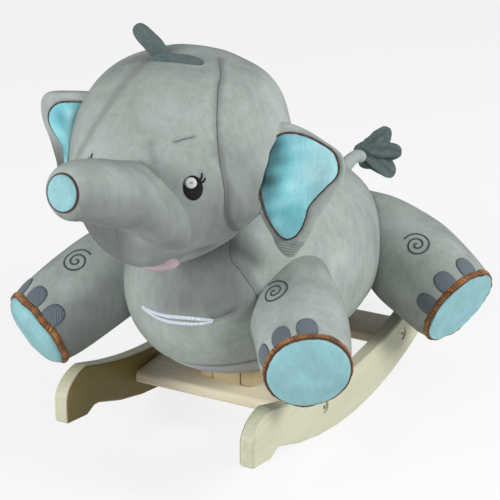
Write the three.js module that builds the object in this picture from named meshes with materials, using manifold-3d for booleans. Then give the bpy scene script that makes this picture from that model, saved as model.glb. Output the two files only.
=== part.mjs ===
// Rocking elephant for a toddler: a stuffed elephant sewn round a small wooden seat frame, which
// stands on two cross slats bolted between two birch runners.
// Millimetres, +Z up. The elephant looks along -Y and +X is its own left side. The sizes below are
// taken from the point on the floor midway between the slats; the last lines move the origin to
// the middle of the whole toy's footprint.
import * as THREE from "three";
import { mergeVertices } from "three/addons/utils/BufferGeometryUtils.js";
import Module from "manifold-3d";

const wasm = await Module();
wasm.setup();

const degree = Math.PI / 180;
const sides = { left: 1, right: -1 };

// Sizes that every piece shares
const gap = 0.3; // clearance between pieces that touch
const overrun = 4; // how far a cutter runs past what it cuts
const plushWall = 2.5; // cloth with the filling that lies against it
const weldTolerance = 1e-4; // vertices closer than this are one

// Birch runners: a rocking arc below, a hollow top edge, and a toe at each end that stops the roll
const runner = {
  thickness: 18,
  outerWidth: 256, // over both runners
  rockRadius: 578,
  arcReach: 232, // from the middle to where the arc ends
  facets: 9, // odd, so that the toy rests on the middle one
  middleHeight: 60,
  hollowRadius: 720,
  hollowSteps: 14, // over half of the top edge
  noseReach: 302,
  noseLength: 44, // of the round over the nose
  noseFlat: 22, // between that round and the hollow
  noseCentreHeight: 78,
  noseTop: 107,
  noseSteps: 8,
  toeTipInset: 3,
  toeTipHeight: 51,
  toeCornerHeight: 54,
  heelLength: 27, // from the arc's end to the heel of the toe
  heelHeight: 44,
  notchLength: 11, // from the arc's end to the top of the notch
  notchHeight: 49.5,
  edgeRound: 2,
};

// Cross slats, bull-nosed along both long edges
const slat = { fromMiddle: 116, centreHeight: 44.6, width: 64, thickness: 14.4, edgeRound: 5 };

// Connector bolts through the runners, with barrel nuts set into the slats from below
const boltSides = 12;
const boltHead = { headRadius: 7.5, headHeight: 3, sunk: 2, socketRadius: 2.6, socketDepth: 2 };
const rockerBolt = { radius: 3, length: 52, ...boltHead };
const barrelNut = { radius: 5, length: 11, fromBoltTip: 9 };

// Wooden seat frame inside the plush: two rails on edge, two blocks between them and a seat board
const frame = {
  width: 72,
  railThickness: 18,
  railHeight: 110,
  frontOverhang: 6, // of the rails past the front slat's middle
  rearOverhang: 34, // and past the rear slat's
  blockLength: 45,
  edgeRound: 2,
};
const frameBolt = { radius: 3, length: 66, ...boltHead };
const frameReach = {
  front: slat.fromMiddle + frame.frontOverhang,
  rear: slat.fromMiddle + frame.rearOverhang,
};
const seatBoard = {
  width: 116,
  frontOverhang: 6, // past the rails
  rearOverhang: 15,
  thickness: 18,
  cornerRadius: 40,
  edgeRound: 2,
};
const seatFoam = {
  width: 104,
  frontInset: 36, // from the board's ends
  rearInset: 17,
  thickness: 36,
  crown: 8,
  roundShare: 0.5, // power that squares the ball off: 1 is a ball, 0 a box
  around: 20,
  down: 8,
};

// Body: one long barrel, its rump lower than its chest; the belly panel closes it below the seam
const body = {
  halfWidth: 125.5,
  halfLength: 243.5,
  halfHeight: 129.5,
  taperShare: 0.06, // how much slimmer the rump's end is, and how much fuller the chest's
  centreReach: -27,
  centreHeight: 181,
  slope: -8.6 * degree,
  seamHeight: 116,
  clearOfSlats: 4, // height of the belly's flat underside over the slats
  around: 24,
  down: 16,
  liningAround: 16,
  liningDown: 10,
};

// Head: a soft ball turned to its left and tilted, on the front of the body. Its crown is wide and
// leans back, its chin is narrow and reaches forward.
const head = {
  halfWidth: 111.5,
  faceDepth: 150,
  napeDepth: 116,
  crownHeight: 137,
  chinHeight: 81,
  leanShare: 0.25, // how far the crown goes back, and the chin forward, for their height
  widenShare: 0.34, // how much wider the crown is than the middle, and the chin narrower
  reach: -235,
  height: 348,
  turn: 10 * degree,
  tilt: 4 * degree,
  around: 24,
  down: 16,
  liningAround: 16,
  liningDown: 10,
};

// Trunk, in the head's own frame: reaches forward and up, and bends to its right at the tip
const trunk = {
  root: { offset: 10, reach: -85, height: -12 },
  lowBend: { offset: -3.3, reach: -148.3, height: 34.7 },
  highBend: { offset: -10, reach: -210, height: 61.3 },
  tip: { offset: -22, reach: -270, height: 80 },
  rootRadius: 60,
  radiusShares: [0.84, 0.87, 0.71, 0.59, 0.53, 0.51, 0.5, 0.43, 0.3],
  stepShares: [0, 0.16, 0.34, 0.52, 0.7, 0.84, 0.93, 0.98, 1],
  around: 16,
};
const trunkTip = { radius: 18.5, dome: 3, thickness: 3, around: 16, rings: 2 };
const trunkPiping = { radius: 1.6, around: 16, section: 6 };
const mouth = {
  halfWidth: 32,
  halfDepth: 26,
  halfHeight: 14,
  offset: 19,
  reach: -95,
  height: -58,
  around: 16,
  down: 8,
};

// Ears: flat pads sewn on along a straight seam on each side of the head, in the head's own frame
const ear = {
  seamOffset: 112,
  seamReach: 13,
  seamHeight: 34.5,
  outwardShares: [0.922, 0.361, -0.141],
  upwardShares: [0.149, 0.005, 0.989],
  width: 70,
  height: 152,
  rootOverlap: 14,
  middleThickness: 5,
  edgeRound: 5,
  swing: 20 * degree,
  swingSteps: 5,
  // Shares of the width outwards and of the height upwards, from the seam's middle
  outlineShares: [
    [0.2, 0.276], [0.44, 0.243], [0.73, 0.158], [0.96, 0.086], [1, -0.02], [0.93, -0.184],
    [0.76, -0.434], [0.66, -0.6], [0.56, -0.71], [0.41, -0.725], [0.25, -0.69], [0.07, -0.57],
    [-0.1, -0.4],
  ],
  rootTopShare: 0.29,
};
const earLining = {
  thickness: 2.4,
  outlineShares: [
    [0.04, 0.23], [0.31, 0.224], [0.54, 0.184], [0.74, 0.125], [0.9, 0.03], [0.87, -0.072],
    [0.74, -0.15], [0.64, -0.257], [0.6, -0.395], [0.54, -0.513], [0.43, -0.586], [0.26, -0.566],
    [0.07, -0.487], [-0.1, -0.36],
  ],
  rootTopShare: 0.2,
};
const earPiping = { width: 2.4, proud: 0.8 };

// Hair tuft: two leaves sewn on the crown, in the head's own frame
const hair = {
  root: { offset: -31, reach: 18, height: 135 },
  rootOverlap: 9, // how far each leaf starts behind the root, through the other leaf
  halfWidth: 10.5,
  halfThickness: 8,
  pinchShare: 0.25, // how much narrower a leaf is at its point
  fullShare: 0.65, // power that rounds a leaf's ends off: 1 is an egg, 0 a bar
  around: 10,
  down: 8,
  leaves: [
    { length: 54, headingShares: [-0.73, -0.09, 0.68] },
    { length: 58, headingShares: [0.98, -0.17, 0.08] },
  ],
};

// Tail: a short stem on the rump with a tuft of petals, swinging about an upright line
const tail = {
  hingeReach: 200,
  hingeHeight: 208,
  stemRadius: 8.5,
  stemLength: 80,
  stemRise: 22, // the bend's height over the root
  stemDrop: 2, // the end's height under the root
  rootOverlap: 14,
  around: 12,
  steps: 5,
  swing: 30 * degree,
  swingSteps: 5,
  petals: 6,
  petalLength: 52,
  petalHalfWidth: 16,
  petalHalfThickness: 9,
  petalSpread: 37 * degree,
  petalAround: 8,
  petalDown: 6,
};

// Legs: fat bags that swell behind the foot and taper into the body, each closed by a sole with a
// cord round it. A sole's middle lies outside the runner's outer face, and the leg runs back from it.
const legSizes = {
  front: { length: 225, radius: 54 },
  rear: { length: 195, radius: 60.5 },
};
const rearLeg = {
  size: "rear", outside: 81, reach: 96.6, height: 106,
  outward: 72 * degree, droop: 25 * degree, nailTurn: 40 * degree,
};
const legs = {
  front_left: {
    size: "front", side: "left", outside: 41.5, reach: -252.5, height: 158.5,
    outward: 33.4 * degree, droop: 13.4 * degree, nailTurn: 38 * degree,
  },
  front_right: {
    size: "front", side: "right", outside: 44.5, reach: -261, height: 141.5,
    outward: 30.5 * degree, droop: 26.7 * degree, nailTurn: 18 * degree,
  },
  rear_left: { ...rearLeg, side: "left" },
  rear_right: { ...rearLeg, side: "right" },
};
const leg = {
  stepShares: [0, 0.04, 0.13, 0.29, 0.47, 0.66, 0.84, 1],
  radiusShares: [0.84, 0.9, 0.96, 1, 1, 0.92, 0.78, 0.55],
  around: 16,
};
const sole = { thickness: 3, dome: 5, rings: 2 };
const footCord = { radius: 3.2, section: 6 };
const toenail = {
  count: 3,
  halfWidth: 10.5,
  halfLength: 11,
  thickness: 1.6,
  fromSole: 16,
  spacing: 36 * degree,
  around: 12,
};

// Looks
const looks = {
  birch: { color: 0xd9d3b4, roughness: 0.5, metalness: 0 },
  plywood: { color: 0xcdb98c, roughness: 0.7, metalness: 0 },
  steel: { color: 0x4c4c4e, roughness: 0.35, metalness: 0.9 },
  foam: { color: 0xe8e2cc, roughness: 0.95, metalness: 0 },
  grey: { color: 0x9aa19f, roughness: 0.95, metalness: 0 },
  lavender: { color: 0xa5a5ab, roughness: 0.95, metalness: 0 },
  blue: { color: 0x8cc8cd, roughness: 0.9, metalness: 0 },
  slate: { color: 0x5f6e76, roughness: 0.9, metalness: 0 },
  pink: { color: 0xbe96a0, roughness: 0.9, metalness: 0 },
  burgundy: { color: 0x4a2b26, roughness: 0.8, metalness: 0 },
  russet: { color: 0x965a28, roughness: 0.85, metalness: 0 },
};
const materials = {};
for (const [name, look] of Object.entries(looks)) {
  materials[name] = new THREE.MeshStandardMaterial({ name, ...look });
}

// Axes
const xAxis = new THREE.Vector3(1, 0, 0);
const yAxis = new THREE.Vector3(0, 1, 0);
const zAxis = new THREE.Vector3(0, 0, 1);
const vector = ({ offset, reach, height }) => new THREE.Vector3(offset, reach, height);
const moved = (x, y, z) => new THREE.Matrix4().makeTranslation(x, y, z);

// A closed geometry becomes a solid that can be joined and cut
function solidOf(geometry) {
  const bare = geometry.clone();
  bare.deleteAttribute("normal");
  bare.deleteAttribute("uv");
  const welded = mergeVertices(bare, weldTolerance);
  const corners = welded.index.array;
  const whole = [];
  for (let i = 0; i < corners.length; i += 3) {
    const [a, b, c] = [corners[i], corners[i + 1], corners[i + 2]];
    if (a !== b && b !== c && c !== a) {
      whole.push(a, b, c);
    }
  }
  const mesh = new wasm.Mesh({
    numProp: 3,
    vertProperties: new Float32Array(welded.attributes.position.array),
    triVerts: new Uint32Array(whole),
  });
  return new wasm.Manifold(mesh);
}

// A solid becomes a geometry that a mesh can show
function geometryOf(solid) {
  const mesh = solid.getMesh();
  const geometry = new THREE.BufferGeometry();
  geometry.setAttribute("position", new THREE.BufferAttribute(new Float32Array(mesh.vertProperties), 3));
  geometry.setIndex(new THREE.BufferAttribute(new Uint32Array(mesh.triVerts), 1));
  const flat = geometry.toNonIndexed();
  flat.computeVertexNormals();
  return flat;
}

// A solid seen from another frame
const placed = (solid, matrix) => solid.transform(matrix.elements);

// What is left of a piece after all the cutters
const cut = (piece, ...cutters) => cutters.reduce((left, cutter) => left.subtract(cutter), piece);

// The cutter, turned about a hinge line to each step of a swing both ways
function swept(cutter, hinge, axis, swing, steps) {
  const copies = [];
  for (let i = 0; i < steps; i++) {
    const angle = THREE.MathUtils.lerp(-swing, swing, i / (steps - 1));
    const turn = new THREE.Matrix4().makeRotationAxis(axis, angle);
    const there = moved(hinge.x, hinge.y, hinge.z);
    const about = there.clone().multiply(turn).multiply(there.invert());
    copies.push(placed(cutter, about));
  }
  return copies;
}

const toy = new THREE.Group();
toy.name = "rocking_elephant";

function addPiece(name, solid, look, parent = toy) {
  const mesh = new THREE.Mesh(geometryOf(solid), materials[look]);
  mesh.name = name;
  parent.add(mesh);
  return mesh;
}

// A closed ball whose unit directions are each moved to their place on a surface, poles along Y
function softBall(around, down, surface) {
  const ball = new THREE.SphereGeometry(1, around, down);
  const places = ball.attributes.position;
  const point = new THREE.Vector3();
  for (let i = 0; i < places.count; i++) {
    point.fromBufferAttribute(places, i);
    surface(point);
    places.setXYZ(i, point.x, point.y, point.z);
  }
  return solidOf(ball);
}

// A closed skin over round rings along a curve, each ring square to the curve
function sweptSkin(curve, stepShares, radii, around) {
  const corners = [];
  const faces = [];
  const last = stepShares.length - 1;
  stepShares.forEach((share, step) => {
    const centre = curve.getPoint(share);
    const forward = curve.getTangent(share);
    const across = new THREE.Vector3().crossVectors(forward, zAxis).normalize();
    const upward = new THREE.Vector3().crossVectors(across, forward);
    for (let i = 0; i < around; i++) {
      const angle = (2 * Math.PI * i) / around;
      const spoke = across.clone().multiplyScalar(Math.cos(angle));
      spoke.addScaledVector(upward, Math.sin(angle));
      corners.push(...centre.clone().addScaledVector(spoke, radii[step]).toArray());
    }
  });
  const startCentre = corners.length / 3;
  corners.push(...curve.getPoint(stepShares[0]).toArray());
  corners.push(...curve.getPoint(stepShares[last]).toArray());
  for (let i = 0; i < around; i++) {
    const next = (i + 1) % around;
    for (let step = 0; step < last; step++) {
      const [here, there] = [step * around, (step + 1) * around];
      faces.push(here + i, there + next, here + next, here + i, there + i, there + next);
    }
    faces.push(startCentre, i, next, startCentre + 1, last * around + next, last * around + i);
  }
  const skin = new THREE.BufferGeometry();
  skin.setAttribute("position", new THREE.Float32BufferAttribute(corners, 3));
  skin.setIndex(faces);
  return solidOf(skin);
}

// A round solid from a profile of [radius, height] pairs, its axis along Z
function turned(profile, around) {
  const points = profile.map(([radius, height]) => new THREE.Vector2(radius, height));
  return solidOf(new THREE.LatheGeometry(points, around).rotateX(Math.PI / 2));
}

// A bar of a closed outline with rounded edges, extruded along Z over a whole length
function bar(shape, length, edgeRound, curveSegments = 3, bevelSegments = 1) {
  const settings = {
    depth: length - 2 * edgeRound,
    bevelEnabled: true,
    bevelThickness: edgeRound,
    bevelSize: edgeRound,
    bevelOffset: -edgeRound,
    bevelSegments,
    curveSegments,
  };
  return solidOf(new THREE.ExtrudeGeometry(shape, settings).translate(0, 0, edgeRound));
}

// A rectangle with round corners, from low to high corner
function roundedRectangle(lowX, lowY, highX, highY, radius) {
  const shape = new THREE.Shape();
  shape.absarc(highX - radius, highY - radius, radius, 0, Math.PI / 2);
  shape.absarc(lowX + radius, highY - radius, radius, Math.PI / 2, Math.PI);
  shape.absarc(lowX + radius, lowY + radius, radius, Math.PI, 1.5 * Math.PI);
  shape.absarc(highX - radius, lowY + radius, radius, 1.5 * Math.PI, 2 * Math.PI);
  return shape;
}

// A plain box between two corners
function block(low, high) {
  const box = new THREE.BoxGeometry(high.x - low.x, high.y - low.y, high.z - low.z);
  return solidOf(box.translate((low.x + high.x) / 2, (low.y + high.y) / 2, (low.z + high.z) / 2));
}

// Turns a profile drawn in (Y, Z) and extruded along Z so that it runs along X
const alongX = new THREE.Matrix4().makeBasis(yAxis, zAxis, xAxis);
const flipZ = new THREE.Matrix4().makeRotationX(Math.PI);

// Runners
const halfWidth = runner.outerWidth / 2;
const runnerInside = halfWidth - runner.thickness;
const slatTop = slat.centreHeight + slat.thickness / 2;

// One runner's outline in (Y, Z): half of it is worked out and mirrored
function runnerOutline() {
  const halfAngle = Math.asin(runner.arcReach / runner.rockRadius);
  const facetAngle = (2 * halfAngle) / runner.facets;
  const arcCentre = runner.rockRadius * Math.cos(facetAngle / 2);
  const half = [];
  for (let i = 0; i < runner.facets / 2; i++) {
    const angle = (i + 0.5) * facetAngle;
    half.push([runner.rockRadius * Math.sin(angle), arcCentre - runner.rockRadius * Math.cos(angle)]);
  }
  half.push([runner.arcReach + runner.notchLength, runner.notchHeight]);
  half.push([runner.arcReach + runner.heelLength, runner.heelHeight]);
  half.push([runner.noseReach - runner.toeTipInset, runner.toeTipHeight]);
  half.push([runner.noseReach, runner.toeCornerHeight]);
  const noseCentreReach = runner.noseReach - runner.noseLength;
  const noseHeight = runner.noseTop - runner.noseCentreHeight;
  for (let i = 0; i <= runner.noseSteps; i++) {
    const angle = (i / runner.noseSteps) * (Math.PI / 2);
    const reach = noseCentreReach + runner.noseLength * Math.cos(angle);
    half.push([reach, runner.noseCentreHeight + noseHeight * Math.sin(angle)]);
  }
  const hollowReach = noseCentreReach - runner.noseFlat;
  for (let i = runner.hollowSteps; i >= 0; i--) {
    const reach = (hollowReach * i) / runner.hollowSteps;
    const rise = runner.hollowRadius - Math.sqrt(runner.hollowRadius ** 2 - reach ** 2);
    half.push([reach, runner.middleHeight + rise]);
  }
  const front = half.slice(0, -1).reverse().map(([reach, height]) => [-reach, height]);
  return [...half, ...front].map(([reach, height]) => new THREE.Vector2(reach, height));
}

// A bolt along +Z: its head's outer face is at zero, or further out by a rise
function boltSolid(bolt, grow = 0, rise = 0) {
  const { radius, length, headRadius, headHeight } = bolt;
  const profile = [
    [0, -rise],
    [headRadius + grow, -rise],
    [headRadius + grow, headHeight + grow],
    [radius + grow, headHeight + grow],
    [radius + grow, headHeight + length + grow],
    [0, headHeight + length + grow],
  ];
  return turned(profile.map(([r, z]) => [r, -z]).reverse(), boltSides).transform(flipZ.elements);
}

// A bolt with a hexagon socket in its head
function socketed(bolt) {
  const socket = new THREE.CylinderGeometry(bolt.socketRadius, bolt.socketRadius, 2 * bolt.socketDepth, 6);
  return cut(boltSolid(bolt), solidOf(socket.rotateX(Math.PI / 2)));
}

// The room that a bolt and its sunk head take, open at the head's side
const boltRoom = (bolt) => boltSolid(bolt, gap, bolt.sunk + overrun);

const reaches = { front: -slat.fromMiddle, rear: slat.fromMiddle };

// Where a runner bolt's head face lies: sunk into the runner's outer face and pointing inwards
function rockerBoltPlace(side, reach) {
  const place = moved(side * (halfWidth - rockerBolt.sunk), reach, slat.centreHeight);
  return place.multiply(new THREE.Matrix4().makeRotationY((-side * Math.PI) / 2));
}

const runnerShape = new THREE.Shape(runnerOutline());
const runnerBar = placed(bar(runnerShape, runner.thickness, runner.edgeRound), alongX);
for (const [sideName, side] of Object.entries(sides)) {
  const low = side > 0 ? runnerInside : -halfWidth;
  const boltPlaces = Object.values(reaches).map((reach) => rockerBoltPlace(side, reach));
  const rooms = boltPlaces.map((place) => placed(boltRoom(rockerBolt), place));
  const solid = cut(placed(runnerBar, moved(low, 0, 0)), ...rooms);
  addPiece(`runner_${sideName}`, solid, "birch");
}

// The barrel nut's place and room: across the bolt near its tip
const boltTip = halfWidth - rockerBolt.sunk - rockerBolt.headHeight - rockerBolt.length;
const nutReach = boltTip + barrelNut.fromBoltTip;
function nutCylinder(radius, low, high) {
  const nut = new THREE.CylinderGeometry(radius, radius, high - low, boltSides);
  return solidOf(nut.rotateX(Math.PI / 2).translate(0, 0, (low + high) / 2));
}

const slatLength = 2 * (runnerInside - gap);
const slatLow = slat.centreHeight - slat.thickness / 2;
const [halfAcross, halfThick] = [slat.width / 2, slat.thickness / 2];
const slatSection = roundedRectangle(-halfAcross, -halfThick, halfAcross, halfThick, slat.edgeRound);
const slatSettings = { depth: slatLength, bevelEnabled: false, curveSegments: 3 };
const slatBar = new THREE.ExtrudeGeometry(slatSection, slatSettings);
const slatSolid = placed(solidOf(slatBar.translate(0, 0, -slatLength / 2)), alongX);

// Each frame bolt comes up through its slat into the block above it
const blockReaches = {
  front: -frameReach.front + frame.blockLength / 2,
  rear: frameReach.rear - frame.blockLength / 2,
};
const frameBoltPlace = (reach) => moved(0, reach, slatLow + frameBolt.sunk);

for (const [end, reach] of Object.entries(reaches)) {
  const cutters = [placed(boltRoom(frameBolt), frameBoltPlace(blockReaches[end]))];
  for (const [sideName, side] of Object.entries(sides)) {
    const boltPlace = rockerBoltPlace(side, reach);
    cutters.push(placed(boltRoom(rockerBolt), boltPlace));
    const nutPlace = moved(side * nutReach, reach, slat.centreHeight);
    const roomLow = -slat.thickness / 2 - overrun;
    cutters.push(placed(nutCylinder(barrelNut.radius + gap, roomLow, barrelNut.length / 2 + gap), nutPlace));
    addPiece(`rocker_bolt_${end}_${sideName}`, placed(socketed(rockerBolt), boltPlace), "steel");
    const nut = placed(nutCylinder(barrelNut.radius, -barrelNut.length / 2, barrelNut.length / 2), nutPlace);
    const threaded = cut(nut, placed(boltSolid(rockerBolt, gap), boltPlace));
    addPiece(`barrel_nut_${end}_${sideName}`, threaded, "steel");
  }
  addPiece(`slat_${end}`, cut(placed(slatSolid, moved(0, reach, slat.centreHeight)), ...cutters), "birch");
  addPiece(`frame_bolt_${end}`, placed(socketed(frameBolt), frameBoltPlace(blockReaches[end])), "steel");
}

// Seat frame
const frameLow = slatTop + gap;
const frameTop = frameLow + frame.railHeight;
const railInside = frame.width / 2 - frame.railThickness;
const railShape = roundedRectangle(-frameReach.front, frameLow, frameReach.rear, frameTop, frame.edgeRound);
const rail = placed(bar(railShape, frame.railThickness, frame.edgeRound, 1), alongX);
for (const [sideName, side] of Object.entries(sides)) {
  const low = side > 0 ? railInside : -frame.width / 2;
  addPiece(`frame_rail_${sideName}`, placed(rail, moved(low, 0, 0)), "plywood");
}
for (const [end, reach] of Object.entries(blockReaches)) {
  const low = new THREE.Vector3(-railInside + gap, reach - frame.blockLength / 2, frameLow);
  const high = new THREE.Vector3(railInside - gap, reach + frame.blockLength / 2, frameTop);
  const room = placed(boltSolid(frameBolt, gap), frameBoltPlace(reach));
  addPiece(`frame_block_${end}`, cut(block(low, high), room), "plywood");
}
const boardLow = frameTop + gap;
const boardSide = seatBoard.width / 2;
const boardFront = -frameReach.front - seatBoard.frontOverhang;
const boardRear = frameReach.rear + seatBoard.rearOverhang;
const boardShape = roundedRectangle(-boardSide, boardFront, boardSide, boardRear, seatBoard.cornerRadius);
const board = bar(boardShape, seatBoard.thickness, seatBoard.edgeRound, 4);
addPiece("seat_board", placed(board, moved(0, 0, boardLow)), "plywood");

// The foam pad: flat where it lies on the board, with round sides and a crowned top
const foamLow = boardLow + seatBoard.thickness + gap;
const foamFront = boardFront + seatFoam.frontInset;
const foamRear = boardRear - seatFoam.rearInset;
const foamMiddle = (foamRear + foamFront) / 2;
const foamHalfLength = (foamRear - foamFront) / 2;
const foamPad = softBall(seatFoam.around, seatFoam.down, (point) => {
  const boxy = (share) => Math.sign(share) * Math.abs(share) ** seatFoam.roundShare;
  const crown = seatFoam.crown * (1 - Math.min(1, point.x ** 2 + point.y ** 2));
  const height = (seatFoam.thickness / 2) * (1 + boxy(point.z)) + (point.z > 0 ? crown : 0);
  point.x = (boxy(point.x) * seatFoam.width) / 2;
  point.y = foamMiddle + boxy(point.y) * foamHalfLength;
  point.z = foamLow + height;
});
addPiece("seat_foam", foamPad, "foam");

// Body and belly panel
const bodyTurn = new THREE.Matrix4().makeRotationX(body.slope);
function bodyBall(grow, around = body.around, down = body.down) {
  return softBall(around, down, (point) => {
    const taper = 1 - body.taperShare * point.y;
    point.x *= (body.halfWidth + grow) * taper;
    point.z *= (body.halfHeight + grow) * taper;
    point.y *= body.halfLength + grow;
    point.applyMatrix4(bodyTurn);
    point.y += body.centreReach;
    point.z += body.centreHeight;
  });
}
const bodyReach = body.halfLength + Math.abs(body.centreReach) + overrun;
const bodyHeight = body.centreHeight + body.halfHeight + bodyReach;
const overSeam = block(
  new THREE.Vector3(-bodyReach, -bodyReach, body.seamHeight),
  new THREE.Vector3(bodyReach, bodyReach, bodyHeight));
const underSeam = block(
  new THREE.Vector3(-bodyReach, -bodyReach, slatTop + body.clearOfSlats),
  new THREE.Vector3(bodyReach, bodyReach, body.seamHeight - gap));
const frameRoom = block(
  new THREE.Vector3(-frame.width / 2 - gap, -frameReach.front - gap, 0),
  new THREE.Vector3(frame.width / 2 + gap, frameReach.rear + gap, frameTop));
const bodyRoom = bodyBall(gap);
const bodyWall = bodyBall(0).subtract(bodyBall(-plushWall, body.liningAround, body.liningDown));
addPiece("body", bodyWall.intersect(overSeam), "grey");
addPiece("belly_panel", bodyWall.intersect(underSeam).subtract(frameRoom), "lavender");

// Head, with everything that is sewn to it in one turned group
const headGroup = new THREE.Group();
headGroup.position.set(0, head.reach, head.height);
headGroup.rotation.set(0, head.tilt, head.turn, "ZYX");
headGroup.updateMatrix();
toy.add(headGroup);
const intoHead = headGroup.matrix.clone().invert();
const bodyRoomInHead = placed(bodyRoom, intoHead);

function headBall(grow, around = head.around, down = head.down) {
  return softBall(around, down, (point) => {
    const lean = head.leanShare * (point.z > 0 ? 1 : (1 - point.y) / 2);
    point.x *= (head.halfWidth + grow) * (1 + head.widenShare * point.z);
    point.z *= (point.z > 0 ? head.crownHeight : head.chinHeight) + grow;
    point.y *= (point.y > 0 ? head.napeDepth : head.faceDepth) + grow;
    point.y += lean * point.z;
  });
}
const headRoom = headBall(gap);
const headWall = headBall(0).subtract(headBall(-plushWall, head.liningAround, head.liningDown));
addPiece("head", cut(headWall, bodyRoomInHead), "grey", headGroup);

// Trunk with its tip disc and the piping round the disc
const trunkCurve = new THREE.CubicBezierCurve3(
  vector(trunk.root), vector(trunk.lowBend), vector(trunk.highBend), vector(trunk.tip));
const trunkSkin = (grow, steps = trunk.stepShares.length) => {
  const radii = trunk.radiusShares.map((share) => share * trunk.rootRadius + grow);
  return sweptSkin(trunkCurve, trunk.stepShares.slice(0, steps), radii, trunk.around);
};
const tipTurn = new THREE.Quaternion().setFromUnitVectors(zAxis, trunkCurve.getTangent(1));
const tipPlace = new THREE.Matrix4().compose(vector(trunk.tip), tipTurn, new THREE.Vector3(1, 1, 1));

// A round cloth disc, flat below and crowned above, its rim at height zero
function domedDisc(radius, thickness, dome, rings, around) {
  const profile = [[0, 0], [radius, 0]];
  for (let i = 0; i <= rings; i++) {
    const share = 1 - i / rings;
    profile.push([radius * share, thickness + dome * (1 - share ** 2)]);
  }
  return turned(profile, around);
}

// A closed ring of cord about Z
function cordRing(radius, cordRadius, around, section) {
  return solidOf(new THREE.TorusGeometry(radius, cordRadius, section, around));
}
const pipingRing = (grow) => {
  const { radius, around, section } = trunkPiping;
  return placed(cordRing(trunkTip.radius, radius + grow, around, section), tipPlace);
};
const { radius: tipRadius, thickness: tipThickness, dome: tipDome } = trunkTip;
const tipDisc = domedDisc(tipRadius, tipThickness, tipDome, trunkTip.rings, trunkTip.around);
const trunkHollow = trunkSkin(-plushWall, trunk.stepShares.length - 1); // the tip's own end is closed
addPiece("trunk", cut(trunkSkin(0), headRoom, trunkHollow, pipingRing(gap)), "grey", headGroup);
const tipDiscPlace = tipPlace.clone().multiply(moved(0, 0, gap));
addPiece("trunk_tip", cut(placed(tipDisc, tipDiscPlace), pipingRing(gap)), "blue", headGroup);
addPiece("trunk_piping", pipingRing(0), "burgundy", headGroup);

// Mouth lining
const mouthPad = softBall(mouth.around, mouth.down, (point) => {
  point.multiply(new THREE.Vector3(mouth.halfWidth, mouth.halfDepth, mouth.halfHeight));
  point.add(vector(mouth));
});
addPiece("mouth_lining", cut(mouthPad, headRoom, trunkSkin(gap), bodyRoomInHead), "pink", headGroup);

// Ears
function earOutline({ outlineShares, rootTopShare }) {
  const curve = outlineShares.map(([out, up]) => new THREE.Vector2(out * ear.width, up * ear.height));
  const shape = new THREE.Shape();
  shape.moveTo(-ear.rootOverlap, curve.at(-1).y);
  shape.lineTo(-ear.rootOverlap, rootTopShare * ear.height);
  shape.splineThru(curve);
  return shape;
}

// A flat plate of an ear outline, grown outwards all round and lying between two heights
function earPlate(piece, low, high, grow) {
  const settings = {
    depth: high - low,
    bevelEnabled: true,
    bevelThickness: 0,
    bevelSize: 0,
    bevelOffset: grow,
    bevelSegments: 1,
    curveSegments: 2,
  };
  return solidOf(new THREE.ExtrudeGeometry(earOutline(piece), settings).translate(0, 0, low));
}

for (const [sideName, side] of Object.entries(sides)) {
  const mirrored = new THREE.Matrix4().makeScale(side, 1, 1);
  const seam = new THREE.Vector3(ear.seamOffset, ear.seamReach, ear.seamHeight);
  const outward = new THREE.Vector3(...ear.outwardShares).normalize();
  const upward = new THREE.Vector3(...ear.upwardShares).normalize();
  const facing = new THREE.Vector3().crossVectors(outward, upward).normalize();
  const earPlace = new THREE.Matrix4().makeBasis(outward, upward, facing).setPosition(seam);
  const place = mirrored.clone().multiply(earPlace);
  const axis = upward.clone().applyMatrix4(mirrored);
  const headRooms = swept(headRoom, seam.clone().applyMatrix4(mirrored), axis, ear.swing, ear.swingSteps);
  const fullThickness = ear.middleThickness + 2 * ear.edgeRound;
  const front = fullThickness / 2 + gap;
  const pad = bar(earOutline(ear), fullThickness, ear.edgeRound, 2, 2).translate([0, 0, -fullThickness / 2]);
  const lining = earPlate(earLining, front, front + earLining.thickness, 0);
  const liningRoom = earPlate(earLining, front - overrun, front + earLining.thickness + overrun, gap);
  const pipingTop = front + earLining.thickness + earPiping.proud;
  const piping = earPlate(earLining, front, pipingTop, gap + earPiping.width).subtract(liningRoom);
  addPiece(`ear_${sideName}`, cut(placed(pad, place), ...headRooms), "grey", headGroup);
  addPiece(`ear_lining_${sideName}`, cut(placed(lining, place), ...headRooms), "blue", headGroup);
  addPiece(`ear_piping_${sideName}`, cut(placed(piping, place), ...headRooms), "burgundy", headGroup);
}

// A leaf along +Z from its root at zero, a little narrower towards its round end
function leaf(length, halfThick, halfWide, around, down) {
  return softBall(around, down, (point) => {
    const along = (1 - point.y) / 2;
    const ring = Math.max(Math.hypot(point.x, point.z), weldTolerance);
    const pinch = ring ** (hair.fullShare - 1) * (1 - hair.pinchShare * along);
    point.set(point.x * halfWide * pinch, point.z * halfThick * pinch, along * length);
  });
}

// Hair tuft
const leafSolids = hair.leaves.map((one) => {
  const solid = leaf(one.length, hair.halfThickness, hair.halfWidth, hair.around, hair.down);
  const heading = new THREE.Vector3(...one.headingShares).normalize();
  const turn = new THREE.Quaternion().setFromUnitVectors(zAxis, heading);
  const start = new THREE.Vector3(0, 0, -hair.rootOverlap).applyQuaternion(turn).add(vector(hair.root));
  return placed(solid, new THREE.Matrix4().compose(start, turn, new THREE.Vector3(1, 1, 1)));
});
addPiece("hair_tuft", cut(leafSolids[0].add(leafSolids[1]), headRoom), "slate", headGroup);

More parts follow.
